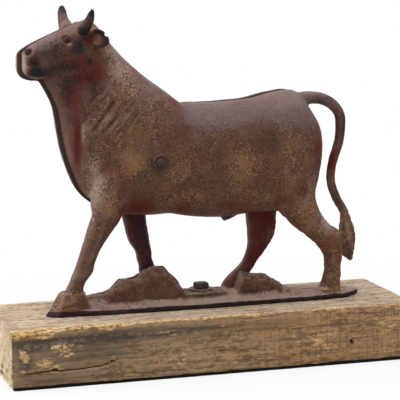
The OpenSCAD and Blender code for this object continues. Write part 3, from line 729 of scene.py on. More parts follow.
def plateRings(rows, edge, bevel, past=4.0):
    # broken line from the seam over the rock and its bevel and down to the plate's edge, the same at every station
    x = rows[:, 0]
    zero = 0 * x
    slope = np.minimum(bevel, (rows[:, 5] - rows[:, 3]) / 3)
    line = [(zero + past, rows[:, 5]), (-rows[:, 4] + slope / 2, rows[:, 5]),
            (-rows[:, 4] - slope * 0.6, rows[:, 5] - slope), (-rows[:, 2], rows[:, 3]),
            (-rows[:, 1], zero + edge), (-rows[:, 1], zero + 0.3), (zero + past, zero + 0.3)]
    return np.stack([np.stack([x, y, z], 1) for y, z in line], 1)


def hoofRings(rows):
    # five-sided plan: heel, cheeks and a pointed toe
    h, heel, cheek, toe, out, half = rows.T
    return np.stack([np.stack([x, -out + side * half, h], 1) for x, side in
                     ((heel, 1), (heel, -1), (cheek, -1), (toe, 0), (cheek, 1))], 1)


def halfLofts(half):
    # trunk and head by their flanks, limbs in level sections, ear, horn, sheath and tail along paths
    shift = np.array([-half["lead"], 0, half["lift"]])
    sq = bull["limbSquareness"]
    lofts = [flankRings(smoothRows(bull["trunk"], 8), 56) + shift,
             flankRings(smoothRows(bull["head"], 8), 48) + shift + (0, 0, half["headDrop"]),
             pathRings(smoothRows(bull["ear"], 8), 28, (0, 0, 1), 3, 4, 0.32) + shift,
             pathRings(smoothRows(bull["sheath"], 6), 20, (0, 1, 0)),
             pathRings(smoothRows(half["horn"], 8), 24, (1, 0, 0)),
             limbRings(smoothRows(half["foreleg"], 6), 40, sq),
             limbRings(smoothRows(half["hindLeg"], 6), 40, sq),
             plateRings(np.array(bull["plate"]), bull["plateEdge"], bull["rockBevel"])]
    if "tail" in half:
        lofts.append(pathRings(smoothRows(half["tail"], 8), 24, (0, 1, 0)))
        lofts.append(hoofRings(np.array(half["hoof"], float)))
    if "stone" in half:
        lofts.append(limbRings(np.array(half["stone"], float), 32, 4))
    return joinLofts([closedLoft(rings) for rings in lofts])


def faceNormals(points, quads):
    # vertex normals as the sum of the cross products of the diagonals of the quads around
    cross = np.cross(points[quads[:, 2]] - points[quads[:, 0]], points[quads[:, 3]] - points[quads[:, 1]])
    total = np.stack([np.bincount(quads.ravel(), np.repeat(cross[:, i], 4), len(points)) for i in range(3)], 1)
    return unit(total + 1e-12)


def fillet(points, quads, edges, amount, rounds):
    # creases are filled by moving hollow places towards the mean of their neighbours
    for i in range(rounds):
        if i % 6 == 0:
            normals = faceNormals(points, quads)
        pull = neighbourMean(points, edges) - points
        hollow = np.clip(((pull * normals).sum(1) - 0.015) / 0.05, 0, 1)
        points = points + pull * (0.65 * hollow * amount)[:, None]
    return points


def rockTop(x):
    # height of the rock at x, straight between the plate's stations
    rows = np.array(bull["plate"])
    return np.interp(x, rows[:, 0], rows[:, 5])


def hideRelief(points, normals, half):
    # heights of all marks along the normals, for the half on the -Y side
    x = points[:, 0] + half["lead"] * ease(points[:, 2], 225 + deckZ, 245 + deckZ)
    out, z = -points[:, 1], points[:, 2] - deckZ
    facing = ease(-normals[:, 1], 0.05, 0.45)
    own = (out > 6) & (z > 88)
    lines = sum(furrow(x, z, *line) for line in hideLines)
    swells = mounds(x, z, hideMounds)
    ear = ease(out, 24, 29) * (z > 280)
    relief = (lines + swells) * facing * own * (1 - ear)
    r = np.hypot(x - eyeBall["x"], (z - eyeBall["z"]) * 1.12) / eyeBall["radius"]
    relief += eyeBall["height"] * np.sqrt(np.maximum(1 - r * r, 0)) * own * facing
    rivetX, rivetY, rivetZ = fasteners["rivetPlace"]
    r = np.hypot(points[:, 0] - rivetX, z - (rivetZ - deckZ))
    relief -= rivetSpot["depth"] * ease(rivetSpot["radius"] - r, -2.0, 3.5) * own * facing
    # fine folds that run down and forward over the neck: noise stretched along them
    c, e = neckFolds["along"]
    folds = np.column_stack([(x * c + z * e) / neckFolds["length"], 0 * x, (x * e - z * c) / neckFolds["width"]])
    relief += (neckFolds["height"] * layeredNoise(folds, 1.0, half["seed"] + 40, 2)
               * mounds(x, z, [neckFolds["place"]]) * own * facing)
    return relief


def limbRelief(points, normals, half):
    # heights of sinews, tail strands, rust scale and rock chips along the normals
    x, out, z = points[:, 0], -points[:, 1], points[:, 2] - deckZ
    seed = half["seed"]
    relief = np.zeros(len(x))
    if "tail" in half:
        facing = ease(-normals[:, 1], -0.1, 0.4)
        relief += sum(furrow(x, z, *line) for line in half["legLines"]) * facing * (z < 150)
        # tuft of the tail: strands that wind slowly down the brush
        tuft = half["tuft"]
        brush = ease(x, 154, 160) * ease(z, 92, 78) * ease(z, 34, 44)
        turn = np.arctan2(x - tuft["x"], out - tuft["out"]) * tuft["strands"] + z * tuft["twist"]
        relief += brush * tuft["height"] * np.sin(turn + latticeNoise(points, 9, seed + 3) * 1.5)
    # rust scale on the legs behind, and flats and chips on the rocks
    relief += ease(x, 55, 85) * ease(z, 112, 92) * 0.55 * layeredNoise(points, 4.5, seed + 5)
    rock = ease(rockTop(x) + 2.5 - z, 0, 2) * ease(z, 7.5, 11)
    relief += rock * (1.5 * latticeNoise(points, (11, 9, 8), seed + 7, False)
                      + 0.5 * latticeNoise(points, 4, seed + 8, False))
    relief += ease(z, 112, 100) * 0.12 * latticeNoise(points, 6, seed + 9)
    return relief


def cutWith(piece, cutter):
    cut = piece.modifiers.new("cut", "BOOLEAN")
    cut.operation = "DIFFERENCE"
    cut.solver = "MANIFOLD"
    cut.object = cutter
    clean = piece.modifiers.new("clean", "WELD")
    clean.merge_threshold = 0.01 * mm
    settle(piece)
    bpy.data.meshes.remove(cutter.data)


def closeGaps(mesh):
    # the cuts can leave a needle with open or doubled edges, which is drawn together to a point
    work = bmesh.new()
    work.from_mesh(mesh)
    for i in range(3):
        faulty = [edge for edge in work.edges if len(edge.link_faces) != 2]
        bmesh.ops.collapse(work, edges=faulty)
        bmesh.ops.dissolve_degenerate(work, dist=0.0001 * mm, edges=work.edges[:])
    work.to_mesh(mesh)
    work.free()
    print(mesh.name, "has", len(faulty), "open edges")


def roundBar(start, end, radius, count=48):
    # circle carried from start to end
    axis = unit(np.subtract(end, start).astype(float))
    u = unit(np.cross(axis, (0.31, 0.52, 0.80)))
    v = np.cross(axis, u)
    a = np.linspace(0, 2 * math.pi, count, endpoint=False)[:, None]
    ring = (u * np.cos(a) + v * np.sin(a)) * radius
    return closedLoft(np.stack([ring + np.asarray(start, float), ring + np.asarray(end, float)]))


def boreBars(half):
    # holes for the body bolt, the rivet and the base bolt, and the ear's notch
    body, rivet, base = (np.array(fasteners[key], float) for key in ("bodyPlace", "rivetPlace", "basePlace"))
    bolt, pin = (fasteners[key] + fasteners["gap"] for key in ("bolt", "rivet"))
    out, past = (0, -60, 0), (0, 10, 0)
    start, end, radius = bull["notch"]
    lead = np.array([-half["lead"], 0, 0])
    return [(body + out, body + past, bolt), (rivet + out, rivet + past, pin),
            (base - (0, 0, 25), base + (0, 0, 10), bolt), (lead + start, lead + end, radius)]


def seamBlock(seam, wave):
    # block whose near face is a sine of x and z, the same wave for both halves, so that no light shines through
    x = np.linspace(-260, 260, 131)[None]
    z = np.linspace(-20, 420, 111)[:, None]
    face = np.stack(np.broadcast_arrays(x, wave * np.sin(x / 7 + z / 11) - seam, z), -1)
    back = np.stack(np.broadcast_arrays(x[:, [-1, 0]], 40.0, z), -1)
    return closedLoft(np.concatenate([face, back], 1))


def castHalf(name, half, mirrored):
    # lofts welded on a voxel grid, creases filled, relief moved out along the normals, then cut at the seam and bored
    points, faces = halfLofts(half)
    points[:, 2] += deckZ
    piece = newPiece(name, points, faces)
    weld = piece.modifiers.new("weld", "REMESH")
    weld.mode = "VOXEL"
    weld.voxel_size = bull["voxel"] * mm
    settle(piece)
    points, normals, edges = readMesh(piece.data)
    quads = readArray(piece.data.loops, "vertex_index", 1, np.int32).reshape(-1, 4)
    z = points[:, 2] - deckZ
    ear = ease(-points[:, 1], 23, 27) * ease(z, 278, 284)
    sheath = ease(z, 101, 97) * (np.abs(points[:, 0] - 34) < 14) * ease(z, 85, 88)
    body = ease(z, 40, 55) * (1 - 0.75 * ear) * (1 - 0.9 * sheath)
    points = fillet(points, quads, edges, 0.12 + 0.88 * body, 70)
    calm = 0.07 + 0.43 * body
    for i in range(5):
        points = points + (neighbourMean(points, edges) - points) * calm[:, None]
    normals = faceNormals(points, quads)
    relief = hideRelief(points, normals, half) + limbRelief(points, normals, half)
    sand = 0.16 * layeredNoise(points, 3.6, half["seed"] + 20) + 0.35 * latticeNoise(points, 17, half["seed"] + 24)
    points = points + normals * (relief + sand * ease(-points[:, 1], 0.5, 4))[:, None]
    points[:, 2] = np.maximum(points[:, 2], deckZ + 0.05)
    writePoints(piece.data, points)
    print(name, "shaped on", len(points), "points")
    wave = -bull["seamWave"] if mirrored else bull["seamWave"]
    cutWith(piece, newPiece("seamCutter", *seamBlock(bull["seam"], wave)))
    for bar in boreBars(half):
        cutWith(piece, newPiece("boreCutter", *roundBar(*bar)))
    piece.data.calc_loop_triangles()
    count = len(piece.data.loop_triangles)
    if count > bull["mostTriangles"]:
        thin = piece.modifiers.new("thin", "DECIMATE")
        thin.ratio = bull["mostTriangles"] / count
        settle(piece)
    closeGaps(piece.data)
    points, normals, edges = readMesh(piece.data)
    # a jitter far finer than a hair keeps the needle triangles left by the cuts from closing up
    points = points + np.random.default_rng(half["seed"]).normal(0, 0.002, points.shape)
    writePoints(piece.data, points)
    paintCasting(piece, points, normals, edges, half)
    if mirrored:
        points[:, 1] *= -1
        writePoints(piece.data, points)
        piece.data.flip_normals()
    return piece


def paintCasting(piece, points, normals, edges, half):
    # masks for the material: each kind of patch is a sum of mounds with a wandering border
    z, out = points[:, 2] - deckZ, -points[:, 1]
    x = points[:, 0] + half["lead"] * ease(z, 90, 110)
    writeMask(piece, "relief", reliefMask(points, normals, edges, 6, 2))
    up = ease(normals[:, 2], 0.1, 0.9)
    ahead = ease(-normals[:, 0], 0.45, 0.9) * ease(z, 150, 120) * ease(z, 24, 40)
    inner = ease(normals[:, 1], -0.1, 0.5) * ease(z, 112, 100) * ease(out, 0.6, 0.9) * ease(z, 12, 20)
    edge = ease(z, 6.4, 5.2) * ease(-normals[:, 1], 0.15, 0.5)
    ear = ease(out, 25, 29) * ease(z, 277, 281) * ease(z, 306, 303)
    rim = ear * ease(np.hypot((x + 113) / 7.5, (z - 291.5) / 8.5), 0.45, 0.95)
    horn = ease(z, 301, 306) * ease(out, 23, 28)
    rock = ease(rockTop(points[:, 0]) + 3 - z, 0, 2) * ease(z, 8, 12) * (1 - up)
    crumbs = 0.7 + latticeNoise(points, 2.6, half["seed"] + 33)
    # faces turned up above the plate take painted sheen
    extra = {"paintedSheen": 0.4 * up * ease(z, 60, 120), "red": 0.6 * inner, "rust": 0.6 * (ear - rim) * crumbs,
             # faces turned up on the plate and the rocks, and faces turned forward on the legs, take dust and painted
             # light
             "dustAndPaintedLight": 1.15 * up * ease(z, 16, 10) + 0.5 * up * ease(z, 50, 20) + 0.25 * ahead,
             # the plate's near edge is darker, in its own dark and painted shade; the sides of the rocks and the inner
             # sides low down take painted shade; the ear darkens towards its rim
             "darkAndPaintedShade": (1.1 * edge + 0.3 * rock + (0.25 + 0.42 * ease(x, 20, -20)) * inner + 0.85 * rim + 0.2 * ear
                       + 0.5 * horn * ease(z, 314, 322))}
    # ear and horn keep their own colours, and the patches of the face wander less
    bare = 1 - 0.85 * np.maximum(ear, horn)
    steady = 1 - 0.65 * ease(x, -118, -136) * ease(z, 232, 250)
    for k, (name, table) in enumerate(patches.items()):
        drift = layeredNoise(points, 22, half["seed"] + 31 + 5 * k) * bull["drift"][name] * steady
        tint = half["hornTint"].get(name, 0.0) * horn
        writeMask(piece, name, (mounds(x, z, table) + drift) * bare + extra[name] + tint)
    # painted shade on the parting faces by the seam
    writeMask(piece, "seam", ease(out, 0.9, 0.65) * ease(normals[:, 1], 0.3, 0.7))


leftPiece = castHalf("leftHalf", leftHalf, False)
finishPiece(leftPiece, ironMaterial, "casting", "left_half")
rightPiece = castHalf("rightHalf", rightHalf, True)
finishPiece(rightPiece, ironMaterial, "casting", "right_half")

# timber, felt and fasteners

timber = {
    "length": 440.0, "depth": 150.0, "height": 60.0, "bottom": 3.0, "stations": 372, "seed": 71,
    # points along half of the underside, the near face, the top, the far face and the other half
    "points": (12, 59, 109, 37, 12), "capRings": 20,
    # worn near edge: x, radius of the wear
    "wear": [(-220, 7.5), (-190, 6.5), (-167, 3.4), (-137, 4.4), (-106, 3.2), (-60, 2.6), (0, 2.2), (90, 2.0),
             (170, 2.8), (220, 3.6)],
    # marks of the near face: path of x and z, width, depth
    "nearLines": [
        ([(-222, 17.4), (-201.6, 17.4), (-178.5, 18.7), (-168, 18.3), (-149, 18.9), (-127.8, 20.3), (-114, 23.5),
          (-104, 23.3)], 0.75, 1.1),
        ([(-179, 19.0), (-175, 19.8), (-171, 19.4)], 1.7, 2.6), ([(-117, 24), (-114, 24.6), (-111, 24.2)], 1.4, 1.8),
        ([(148.6, 27), (149.8, 24.3), (151, 22)], 1.6, 1.8), ([(-95, 25.2), (-85, 25), (-74, 25.2)], 0.7, 0.35),
        ([(-216, 54.5), (-198, 56), (-180, 57.6)], 0.8, 0.6), ([(20, 14), (60, 16), (104, 15)], 0.8, 0.4),
        ([(-60, 40), (-20, 42), (30, 41)], 0.8, 0.4), ([(90, 45), (140, 44), (190, 46)], 0.8, 0.4),
        ([(-10, 27), (34, 26), (70, 28)], 0.7, 0.4)],
    # marks of the top: path of x and y, width, depth
    "topLines": [
        ([(-186, 33), (-177, 32), (-166, 29.5), (-152, 28)], 1.2, 2.6),
        ([(-199, 51), (-196, 51.4), (-192, 51)], 2.0, 2.0),
        ([(-158, 38), (-155, 38.3), (-151, 38)], 2.0, 2.2), ([(190, -40), (204, -36), (222, -37)], 1.0, 1.8),
        ([(120, 56), (160, 58), (222, 55)], 1.0, 1.4), ([(-222, -20), (-190, -18), (-172, -20)], 0.9, 1.2),
        ([(-60, 58), (0, 60), (60, 57)], 0.9, 1.2)],
    # lower border of the pale worn edge: x, z
    "border": [(-220, 52), (-182, 54.5), (-167, 59), (-137, 57.5), (-106, 59), (-60, 60.6), (220, 61.2)],
    # ochre and dark places of the near face, as mounds
    "ochre": [(-207, 37, 5, 9, 0.9), (-186, 28, 9, 4, 0.8), (-163, 35, 7, 4, 0.8), (-159, 43, 12, 3, 0.6),
              (-173, 42, 6, 4, 0.8), (-176, 21, 10, 4, 0.8), (-207, 21, 12, 4, 0.8), (-114, 25, 6, 3, 0.9),
              (-52, 49.5, 9, 4, 0.4), (-42, 20, 16, 10, 0.45), (40, 14, 30, 6, 0.4), (95, 38, 30, 12, 0.35),
              (110, 22, 26, 10, 0.45), (190, 40, 34, 18, 0.4), (0, 52, 26, 6, 0.3)],
    "dark": [(-196, 48, 26, 6, 0.8), (-120, 50, 60, 7, 0.75), (-30, 51, 60, 6, 0.7), (60, 48, 50, 7, 0.45),
             (-206, 28, 8, 12, 0.5), (-120, 34, 50, 10, 0.45), (84, 32, 26, 3, 0.6), (-190, 10, 30, 6, 0.3),
             (150, 24, 5, 5, 0.5)],
}


def timberRings(spec):
    # rectangle with its own round at each corner, carried along x; s is the way round it from under the middle
    long, deep, high = spec["length"], spec["depth"], spec["height"]
    x = np.linspace(-long / 2, long / 2, spec["stations"])
    half = deep / 2
    spans = (half, high, deep, high, half)
    ways = np.cumsum((0,) + spans)
    s = np.concatenate([way + np.linspace(0, span, count)[:-1]
                        for way, span, count in zip(ways, spans, spec["points"])])[None]
    low, rise = spec["bottom"], spec["bottom"] + high
    y = np.interp(s, ways, [0, -half, -half, half, half, 0]) + 0 * x[:, None]
    z = np.interp(s, ways, [low, low, rise, rise, low, low]) + 0 * x[:, None]
    side = np.digitize(s[0], ways[1:-1])
    normals = np.array([(0, -1), (-1, 0), (0, 1), (1, 0), (0, -1)], float)[side][None] + 0 * x[:, None, None]
    wander = latticeNoise(np.column_stack([x, 0 * x, 0 * x]), 19, spec["seed"])
    wear = np.interp(x, *np.array(spec["wear"]).T) * (1 + 0.3 * wander)
    corners = [((-half, low), (-1, 0), (0, 1), 1.4 + 0.5 * wander), ((-half, rise), (0, 1), (1, 0), wear),
               ((half, rise), (1, 0), (0, -1), 3.0 - wander), ((half, low), (0, -1), (-1, 0), 1.6 - 0.5 * wander)]
    for way, (corner, before, after, radius) in zip(ways[1:], corners):
        r = radius[:, None]
        t = s - way
        phi = np.clip((t + r) / (2 * r), 0, 1) * math.pi / 2
        inside = np.abs(t) < r
        ny = -after[0] * np.cos(phi) + before[0] * np.sin(phi)
        nz = -after[1] * np.cos(phi) + before[1] * np.sin(phi)
        y = np.where(inside, corner[0] + r * (after[0] - before[0] + ny), y)
        z = np.where(inside, corner[1] + r * (after[1] - before[1] + nz), z)
        normals = np.where(inside[..., None], np.stack([ny, nz], -1), normals)
    points = np.stack([x[:, None] + 0 * y, y, z], -1)
    flat = points.reshape(-1, 3)
    sink = timberSink(flat, normals.reshape(-1, 2), spec).reshape(y.shape)
    points[..., 1:] -= normals * sink[..., None]
    # both ends: the last ring drawn in towards its middle, with its own saw marks
    ends = []
    for ring, sign in ((points[0], 1), (points[-1], -1)):
        middle = ring.mean(0)
        share = np.linspace(0.03, 0.985, spec["capRings"])[:, None, None]
        cap = middle + (ring - middle) * share
        spot = cap.reshape(-1, 3)
        dip = 0.5 + 0.45 * latticeNoise(spot, (9, 60, 2.2), spec["seed"] + 8)
        dip += 0.5 * latticeNoise(spot, 14, spec["seed"] + 9)
        cap[..., 0] += sign * np.maximum(dip, 0).reshape(cap.shape[:2]) * ease(share[..., 0], 1.0, 0.9)
        ends.append(cap)
    return np.concatenate([ends[0], points, ends[1][::-1]])[::-1]


def timberSink(points, normals, spec):
    # depth of grain, dents, saw marks and cracks below the sawn faces
    seed = spec["seed"]
    x, y, z = points.T
    near = ease(-normals[:, 0], 0.6, 0.95)
    top = ease(normals[:, 1], 0.6, 0.95)
    grain = layeredNoise(points, (70, 3.2, 3.2), seed + 1)
    sink = 0.28 * np.maximum(grain + 0.25, 0) + 0.5 * np.maximum(latticeNoise(points, (46, 17, 15), seed + 5), 0)
    saw = latticeNoise(points, (1.9, 40, 30), seed + 6) * ease(latticeNoise(points, (60, 40, 26), seed + 7), -0.2, 0.4)
    sink += 0.16 * np.maximum(saw, 0) * near * ease(x, -60, 40)
    edge = np.abs(normals[:, 0] * normals[:, 1]) * 2
    sink += edge * 1.3 * np.maximum(latticeNoise(points, (9, 5, 5), seed + 10), 0)
    for line in spec["nearLines"]:
        sink += furrow(x, z + 0.5 * latticeNoise(points, 7, seed + 11), *line) * near
    for line in spec["topLines"]:
        sink += furrow(x, y + 0.6 * latticeNoise(points, 8, seed + 12), *line) * top
    return sink * ease(spec["length"] / 2 - np.abs(x), -0.5, 0.5)


def paintTimber(piece, spec):
    # masks for the material: worn edge, ochre and dark places, warm right part, fresh left end
    points, normals, edges = readMesh(piece.data)
    x, y, z = points.T
    near = ease(-normals[:, 1], 0.5, 0.9)
    seed = spec["seed"]
    ragged = latticeNoise(points, (14, 6, 5), seed + 20) * 3.2 + latticeNoise(points, (4, 3, 2.5), seed + 21) * 1.1
    border = np.interp(x, *np.array(spec["border"], float).T)
    worn = ease(z - border + ragged, -0.8, 1.6) * ease(y, -66, -72) * (1 - 0.45 * ease(x, -120, -30))
    writeMask(piece, "worn", worn * 0.95 + mounds(x, z, spec["ochre"]) * near * 0.75)
    writeMask(piece, "stain", near * (mounds(x, z, spec["dark"]) + 0.3 * ease(x, -60, -160)))
    writeMask(piece, "warm", ease(x, -70, 120) * near + ease(x, 120, 200) * 0.3)
    writeMask(piece, "fresh", ease(-normals[:, 0], 0.5, 0.8))
    writeMask(piece, "relief", reliefMask(points, normals, edges, 5))


felt = {
    "length": 436.0, "depth": 146.0, "corner": 3.0, "round": 80, "seed": 83, "fuzz": 0.35,
    # rows from the middle of the underside over the edge to the middle of the top: share, inset, height
    "rows": [(0.02, 0, 0.0), (0.35, 0, 0.0), (0.7, 0, 0.0), (0.95, 0, 0.0), (1, -0.7, 0.0), (1, -0.25, 0.25),
             (1, 0, 0.9), (1, 0, 1.6), (1, -0.05, 2.3), (1, -0.3, 2.8), (1, -0.8, 2.99), (0.9, 0, 2.99),
             (0.4, 0, 2.99), (0.02, 0, 2.99)],
}


def feltRings(spec):
    # rounded rectangle of four sides and four arcs, drawn in row by row over the edge and towards the middle
    r, rows = spec["corner"], spec["rows"]
    reach = np.array([spec["length"] / 2 - r, spec["depth"] / 2 - r])
    steps = np.linspace(-1, 1, spec["round"])
    sides = [np.column_stack([reach[0] * steps[::-1], 0 * steps + reach[1] + r]),
             np.column_stack([0 * steps - reach[0] - r, reach[1] * steps[::-1]]),
             np.column_stack([reach[0] * steps, 0 * steps - reach[1] - r]),
             np.column_stack([0 * steps + reach[0] + r, reach[1] * steps])]
    arcs = []
    for k, sign in enumerate(((-1, 1), (-1, -1), (1, -1), (1, 1))):
        turn = math.pi / 2 * (k + 1) + np.linspace(0, math.pi / 2, 12)[1:-1]
        arcs.append(np.array(sign) * reach + r * np.column_stack([np.cos(turn), np.sin(turn)]))
    outline = np.concatenate([part for pair in zip(sides, arcs) for part in pair])
    outward = unit(outline - np.clip(outline, -reach, reach))
    rings = np.stack([np.column_stack([outline * share + outward * inset, np.full(len(outline), h)])
                      for share, inset, h in rows])
    flat = rings.reshape(-1, 3)
    fuzz = latticeNoise(flat, (2.4, 2.4, 0.9), spec["seed"]).reshape(rings.shape[:2])
    edge = np.array([1.0 if share == 1 else 0.0 for share, inset, h in rows])[:, None]
    rings[..., :2] += outward[None] * (fuzz * edge * spec["fuzz"])[..., None]
    return rings


def turnedRings(rows, sides, count, turn=0.0):
    # polygon of the given half-width, cut round at a limiting radius: rows of height, half-width, limit;
    # a half-width beyond the limit leaves the row round
    rows = np.asarray(rows, float)
    a = np.linspace(0, 2 * math.pi, count, endpoint=False)[None]
    sector = 2 * math.pi / sides
    off = (a - turn + sector / 2) % sector - sector / 2
    radius = np.minimum(rows[:, 1:2] / np.cos(off), rows[:, 2:3])
    return np.stack([radius * np.cos(a), radius * np.sin(a), rows[:, :1] + 0 * a], -1)


def stand(loft, place, axis="z"):
    # turns a loft made along z to the given axis and puts it in its place
    points, faces = loft
    if axis == "-y":
        points = points[:, [0, 2, 1]] * (1, -1, 1)
    if axis == "y":
        points = points[:, [0, 2, 1]] * (-1, 1, 1)
    return points + np.asarray(place, float), faces


def worn(loft, amount, seed):
    # small dents and rust on a fastener
    points, faces = loft
    middle = points.mean(0)
    push = layeredNoise(points, 2.6, seed) * amount
    return points + unit(points - middle) * push[:, None], faces


def denseRows(rows, step):
    # more rows between those given, so that wear has points to move
    rows = np.asarray(rows, float)
    parts = []
    for a, b in zip(rows[:-1], rows[1:]):
        n = max(1, int(np.ceil(np.abs(b - a).max() / step)))
        parts.append(a + (b - a) * np.arange(n)[:, None] / n)
    return np.concatenate(parts + [rows[-1:]])


def squareBolt(spec, length):
    # shank from its chamfered tip to the head, then a square head with its corners and top worn round
    b, h, top = spec["bolt"], spec["headHalf"], spec["headHigh"]
    rows = [(-length, 9, 0.5), (-length + 0.05, 9, b - 1.3), (-length + 0.5, 9, b - 0.5), (-length + 1.3, 9, b),
            (-0.02, 9, b), (0, h, b + 0.3), (0.05, h - 0.25, h + 1.2), (0.5, h, h + 2.0),
            (top - 1.6, h - 0.05, h + 1.9), (top - 0.7, h - 0.3, h + 1.2), (top - 0.2, h - 0.9, h),
            (top, h - 2.2, h - 1.7), (top, 1.0, 1.0)]
    return closedLoft(turnedRings(denseRows(rows, 1.2), 4, spec["count"], math.radians(12)))


def hexNut(spec):
    # hexagon with a turned chamfer on both faces, and a bore with shallow turns of thread
    n, top, bore = spec["nutHalf"], spec["nutHigh"], spec["bolt"] + 0.2
    rows = [(0.0, n, bore + 0.8), (0.0, n, n - 0.2), (0.35, n, n + 0.55), (1.0, n, n + 0.9), (top - 2.2, n, n + 0.9),
            (top - 1.2, n, n + 0.4), (top - 0.3, n, n - 0.7), (top, n, n - 1.6), (top, n, bore + 0.9),
            (top - 0.6, n, bore)]
    turns = [(h, n, bore + (0.35 if i % 2 else 0.0)) for i, h in enumerate(np.linspace(top - 1.0, 0.8, 12))]
    return hoopLoft(turnedRings(rows + turns, 6, spec["count"]))


def washerRing(spec):
    # flat ring's profile with round rims, turned about its bore
    r, t, bore = spec["washer"], spec["washerThick"], spec["bolt"] + spec["gap"]
    rows = [(0, 20, bore), (0, 20, r - 1), (0, 20, r - 0.4), (0.4, 20, r), (t - 0.5, 20, r), (t - 0.05, 20, r - 0.5),
            (t, 20, r - 1.2), (t, 20, (r + bore) / 2), (t, 20, bore + 0.6), (t - 0.3, 20, bore)]
    return hoopLoft(turnedRings(rows, 8, spec["count"]))


def rivetBar(spec):
    # shank with a countersunk head at each end, its face hammered to a low dome
    r, big, deep, end = spec["rivet"], spec["rivetHead"], spec["rivetDeep"], spec["rivetEnd"]
    half = [(end - deep, 9, r), (end - 0.5, 9, big - 0.5), (end - 0.2, 9, big - 0.1), (end + 0.1, 9, big - 0.9),
            (end + 0.5, 9, big - 2.4), (end + 0.7, 9, 0.5)]
    rows = [(-h, a, q) for h, a, q in half[::-1]] + half
    return closedLoft(turnedRings(denseRows(rows, 1.4), 8, spec["count"]))


timberPiece = newPiece("timberBase", *closedLoft(timberRings(timber)))
baseX, baseY, baseZ = fasteners["basePlace"]
pocketTop, bore = fasteners["pocketTop"] - baseZ, fasteners["bolt"] + fasteners["gap"]
pocket = turnedRings([(-84, 30, fasteners["pocket"]), (pocketTop, 30, fasteners["pocket"]), (pocketTop, 30, bore),
                      (-10, 30, bore)], 4, 48)
cutWith(timberPiece, newPiece("boreCutter", *stand(closedLoft(pocket), fasteners["basePlace"])))
paintTimber(timberPiece, timber)
finishPiece(timberPiece, timberMaterial, "timber", "timber_base")

feltPiece = newPiece("baseFelt", *closedLoft(feltRings(felt)))
finishPiece(feltPiece, feltMaterial, "felt", "base_felt")

bodyX, bodyY, bodyZ = fasteners["bodyPlace"]
seat = fasteners["bodySeat"]
# piece: its shape, depth of its dents, seed, place, axis, material, slot, node
fixings = {
    "baseBolt": (squareBolt(fasteners, fasteners["baseLong"]), 0.16, 91, fasteners["basePlace"], "z", steelMaterial,
                 "fastener", "base_bolt"),
    "baseWasher": (washerRing(fasteners), 0.06, 92, (baseX, baseY, baseZ - fasteners["washerThick"]), "z",
                   washerMaterial, "washer", "base_washer"),
    "bodyBolt": (squareBolt(fasteners, fasteners["bodyLong"]), 0.16, 93, (bodyX, seat, bodyZ), "y", steelMaterial,
                 "fastener", "body_bolt"),
    "bodyNut": (hexNut(fasteners), 0.3, 94, (bodyX, -seat, bodyZ), "-y", steelMaterial, "fastener", "body_nut"),
    "neckRivet": (rivetBar(fasteners), 0.12, 95, fasteners["rivetPlace"], "-y", rivetMaterial, "fastener",
                  "neck_rivet"),
}
for name, (shape, dents, seed, place, axis, material, slot, node) in fixings.items():
    piece = newPiece(name, *stand(worn(shape, dents, seed), place, axis))
    finishPiece(piece, material, slot, node)
for node, material in (("lower_washer", washerMaterial), ("lower_nut", steelMaterial)):
    slots = frame["nodes"][node].data.materials
    slots.clear()
    slots.append(material)

# camera at the photograph's place

cameraSettings = {"place": (-0.5869, -2.0426, 0.4893), "azimuth": 16.146, "pitch": 8.378, "roll": -0.925,
                  "lens": 179.63, "sensor": 36.0}


def makeCamera(settings):
    # forward from azimuth and pitch, right and up turned about it by the roll
    a, b, r = (math.radians(settings[key]) for key in ("azimuth", "pitch", "roll"))
    forward = Vector((math.sin(a) * math.cos(b), math.cos(a) * math.cos(b), -math.sin(b)))
    level = Vector((math.cos(a), -math.sin(a), 0))
    upright = level.cross(forward)
    right = level * math.cos(r) + upright * math.sin(r)
    up = upright * math.cos(r) - level * math.sin(r)
    data = bpy.data.cameras.new("photoCamera")
    data.lens = settings["lens"]
    data.sensor_width = settings["sensor"]
    data.clip_end = 50
    camera = bpy.data.objects.new("photoCamera", data)
    turn = Matrix((right, up, -forward)).transposed().to_4x4()
    camera.matrix_world = Matrix.Translation(Vector(settings["place"])) @ turn
    scene.collection.objects.link(camera)
    scene.camera = camera


makeCamera(cameraSettings)

# studio: white room for the eye and for reflections, soft lamps on the object

studio = {"ambient": 0.2, "floorColour": (0.5, 0.5, 0.5, 1), "floorSize": 6.0, "clearFrom": 0.36, "clearTo": 0.75,
          "clear": 0.74, "glow": 1.13,
          "lamps": {"topSoftbox": ((-0.05, -0.1, 1.3), (0.0, 0.0, 0.15), 1.7, 1.5, 20.0),
                    "leftKey": ((-1.4, 0.35, 0.8), (0.0, 0.0, 0.2), 1.1, 1.0, 15.0),
                    "frontFill": ((0.4, -1.9, 0.9), (0.0, 0.0, 0.15), 1.2, 1.0, 4.0)}}


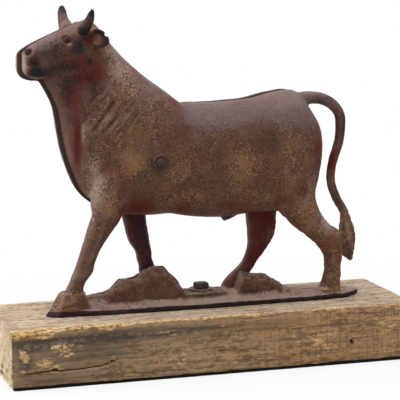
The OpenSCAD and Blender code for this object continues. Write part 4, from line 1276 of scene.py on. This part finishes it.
def seenDirectly(tree):
    path = tree.nodes.new("ShaderNodeLightPath").outputs
    either = combine(tree, "MAXIMUM", path["Is Camera Ray"], path["Is Glossy Ray"])
    return combine(tree, "MAXIMUM", either, path["Is Transmission Ray"])


def makeStudio(settings):
    world = bpy.data.worlds.new("studio")
    scene.world = world
    world.use_nodes = True
    tree = world.node_tree
    background = tree.nodes["Background"]
    background.inputs["Color"].default_value = (1, 1, 1, 1)
    strength = remap(tree, seenDirectly(tree), 0.0, 1.0, settings["ambient"], 1.0)
    tree.links.new(strength, background.inputs["Strength"])
    half = settings["floorSize"] / mm
    corners = np.array([(-half, -half, 0), (half, -half, 0), (half, half, 0), (-half, half, 0)])
    floor = newPiece("floor", corners, [[0, 1, 2, 3]])
    material = bpy.data.materials.new("paleFloor")
    material.use_nodes = True
    tree = material.node_tree
    tree.nodes.clear()
    plain = addNode(tree, "ShaderNodeBsdfDiffuse", {"Color": settings["floorColour"]})
    coords = tree.nodes.new("ShaderNodeTexCoord").outputs["Object"]
    reach = vectors(tree, "LENGTH", coords, result="Value")
    bright = remap(tree, reach, settings["clearFrom"], settings["clearTo"], settings["glow"], 1.0)
    glow = addNode(tree, "ShaderNodeEmission", {"Color": (1, 1, 1, 1), "Strength": bright})
    clear = times(tree, seenDirectly(tree),
                  remap(tree, reach, settings["clearFrom"], settings["clearTo"], settings["clear"], 1.0))
    mixed = addNode(tree, "ShaderNodeMixShader", {0: clear, 1: plain.outputs[0], 2: glow.outputs[0]})
    output = tree.nodes.new("ShaderNodeOutputMaterial")
    tree.links.new(mixed.outputs[0], output.inputs["Surface"])
    floor.data.materials.append(material)
    for name, (place, target, wide, deep, power) in settings["lamps"].items():
        lamp = bpy.data.lights.new(name, "AREA")
        lamp.shape = "RECTANGLE"
        lamp.size, lamp.size_y, lamp.energy = wide, deep, power
        holder = bpy.data.objects.new(name, lamp)
        aim = (Vector(target) - Vector(place)).to_track_quat("-Z", "Y")
        holder.matrix_world = Matrix.Translation(Vector(place)) @ aim.to_matrix().to_4x4()
        scene.collection.objects.link(holder)


makeStudio(studio)
print("studio ready")
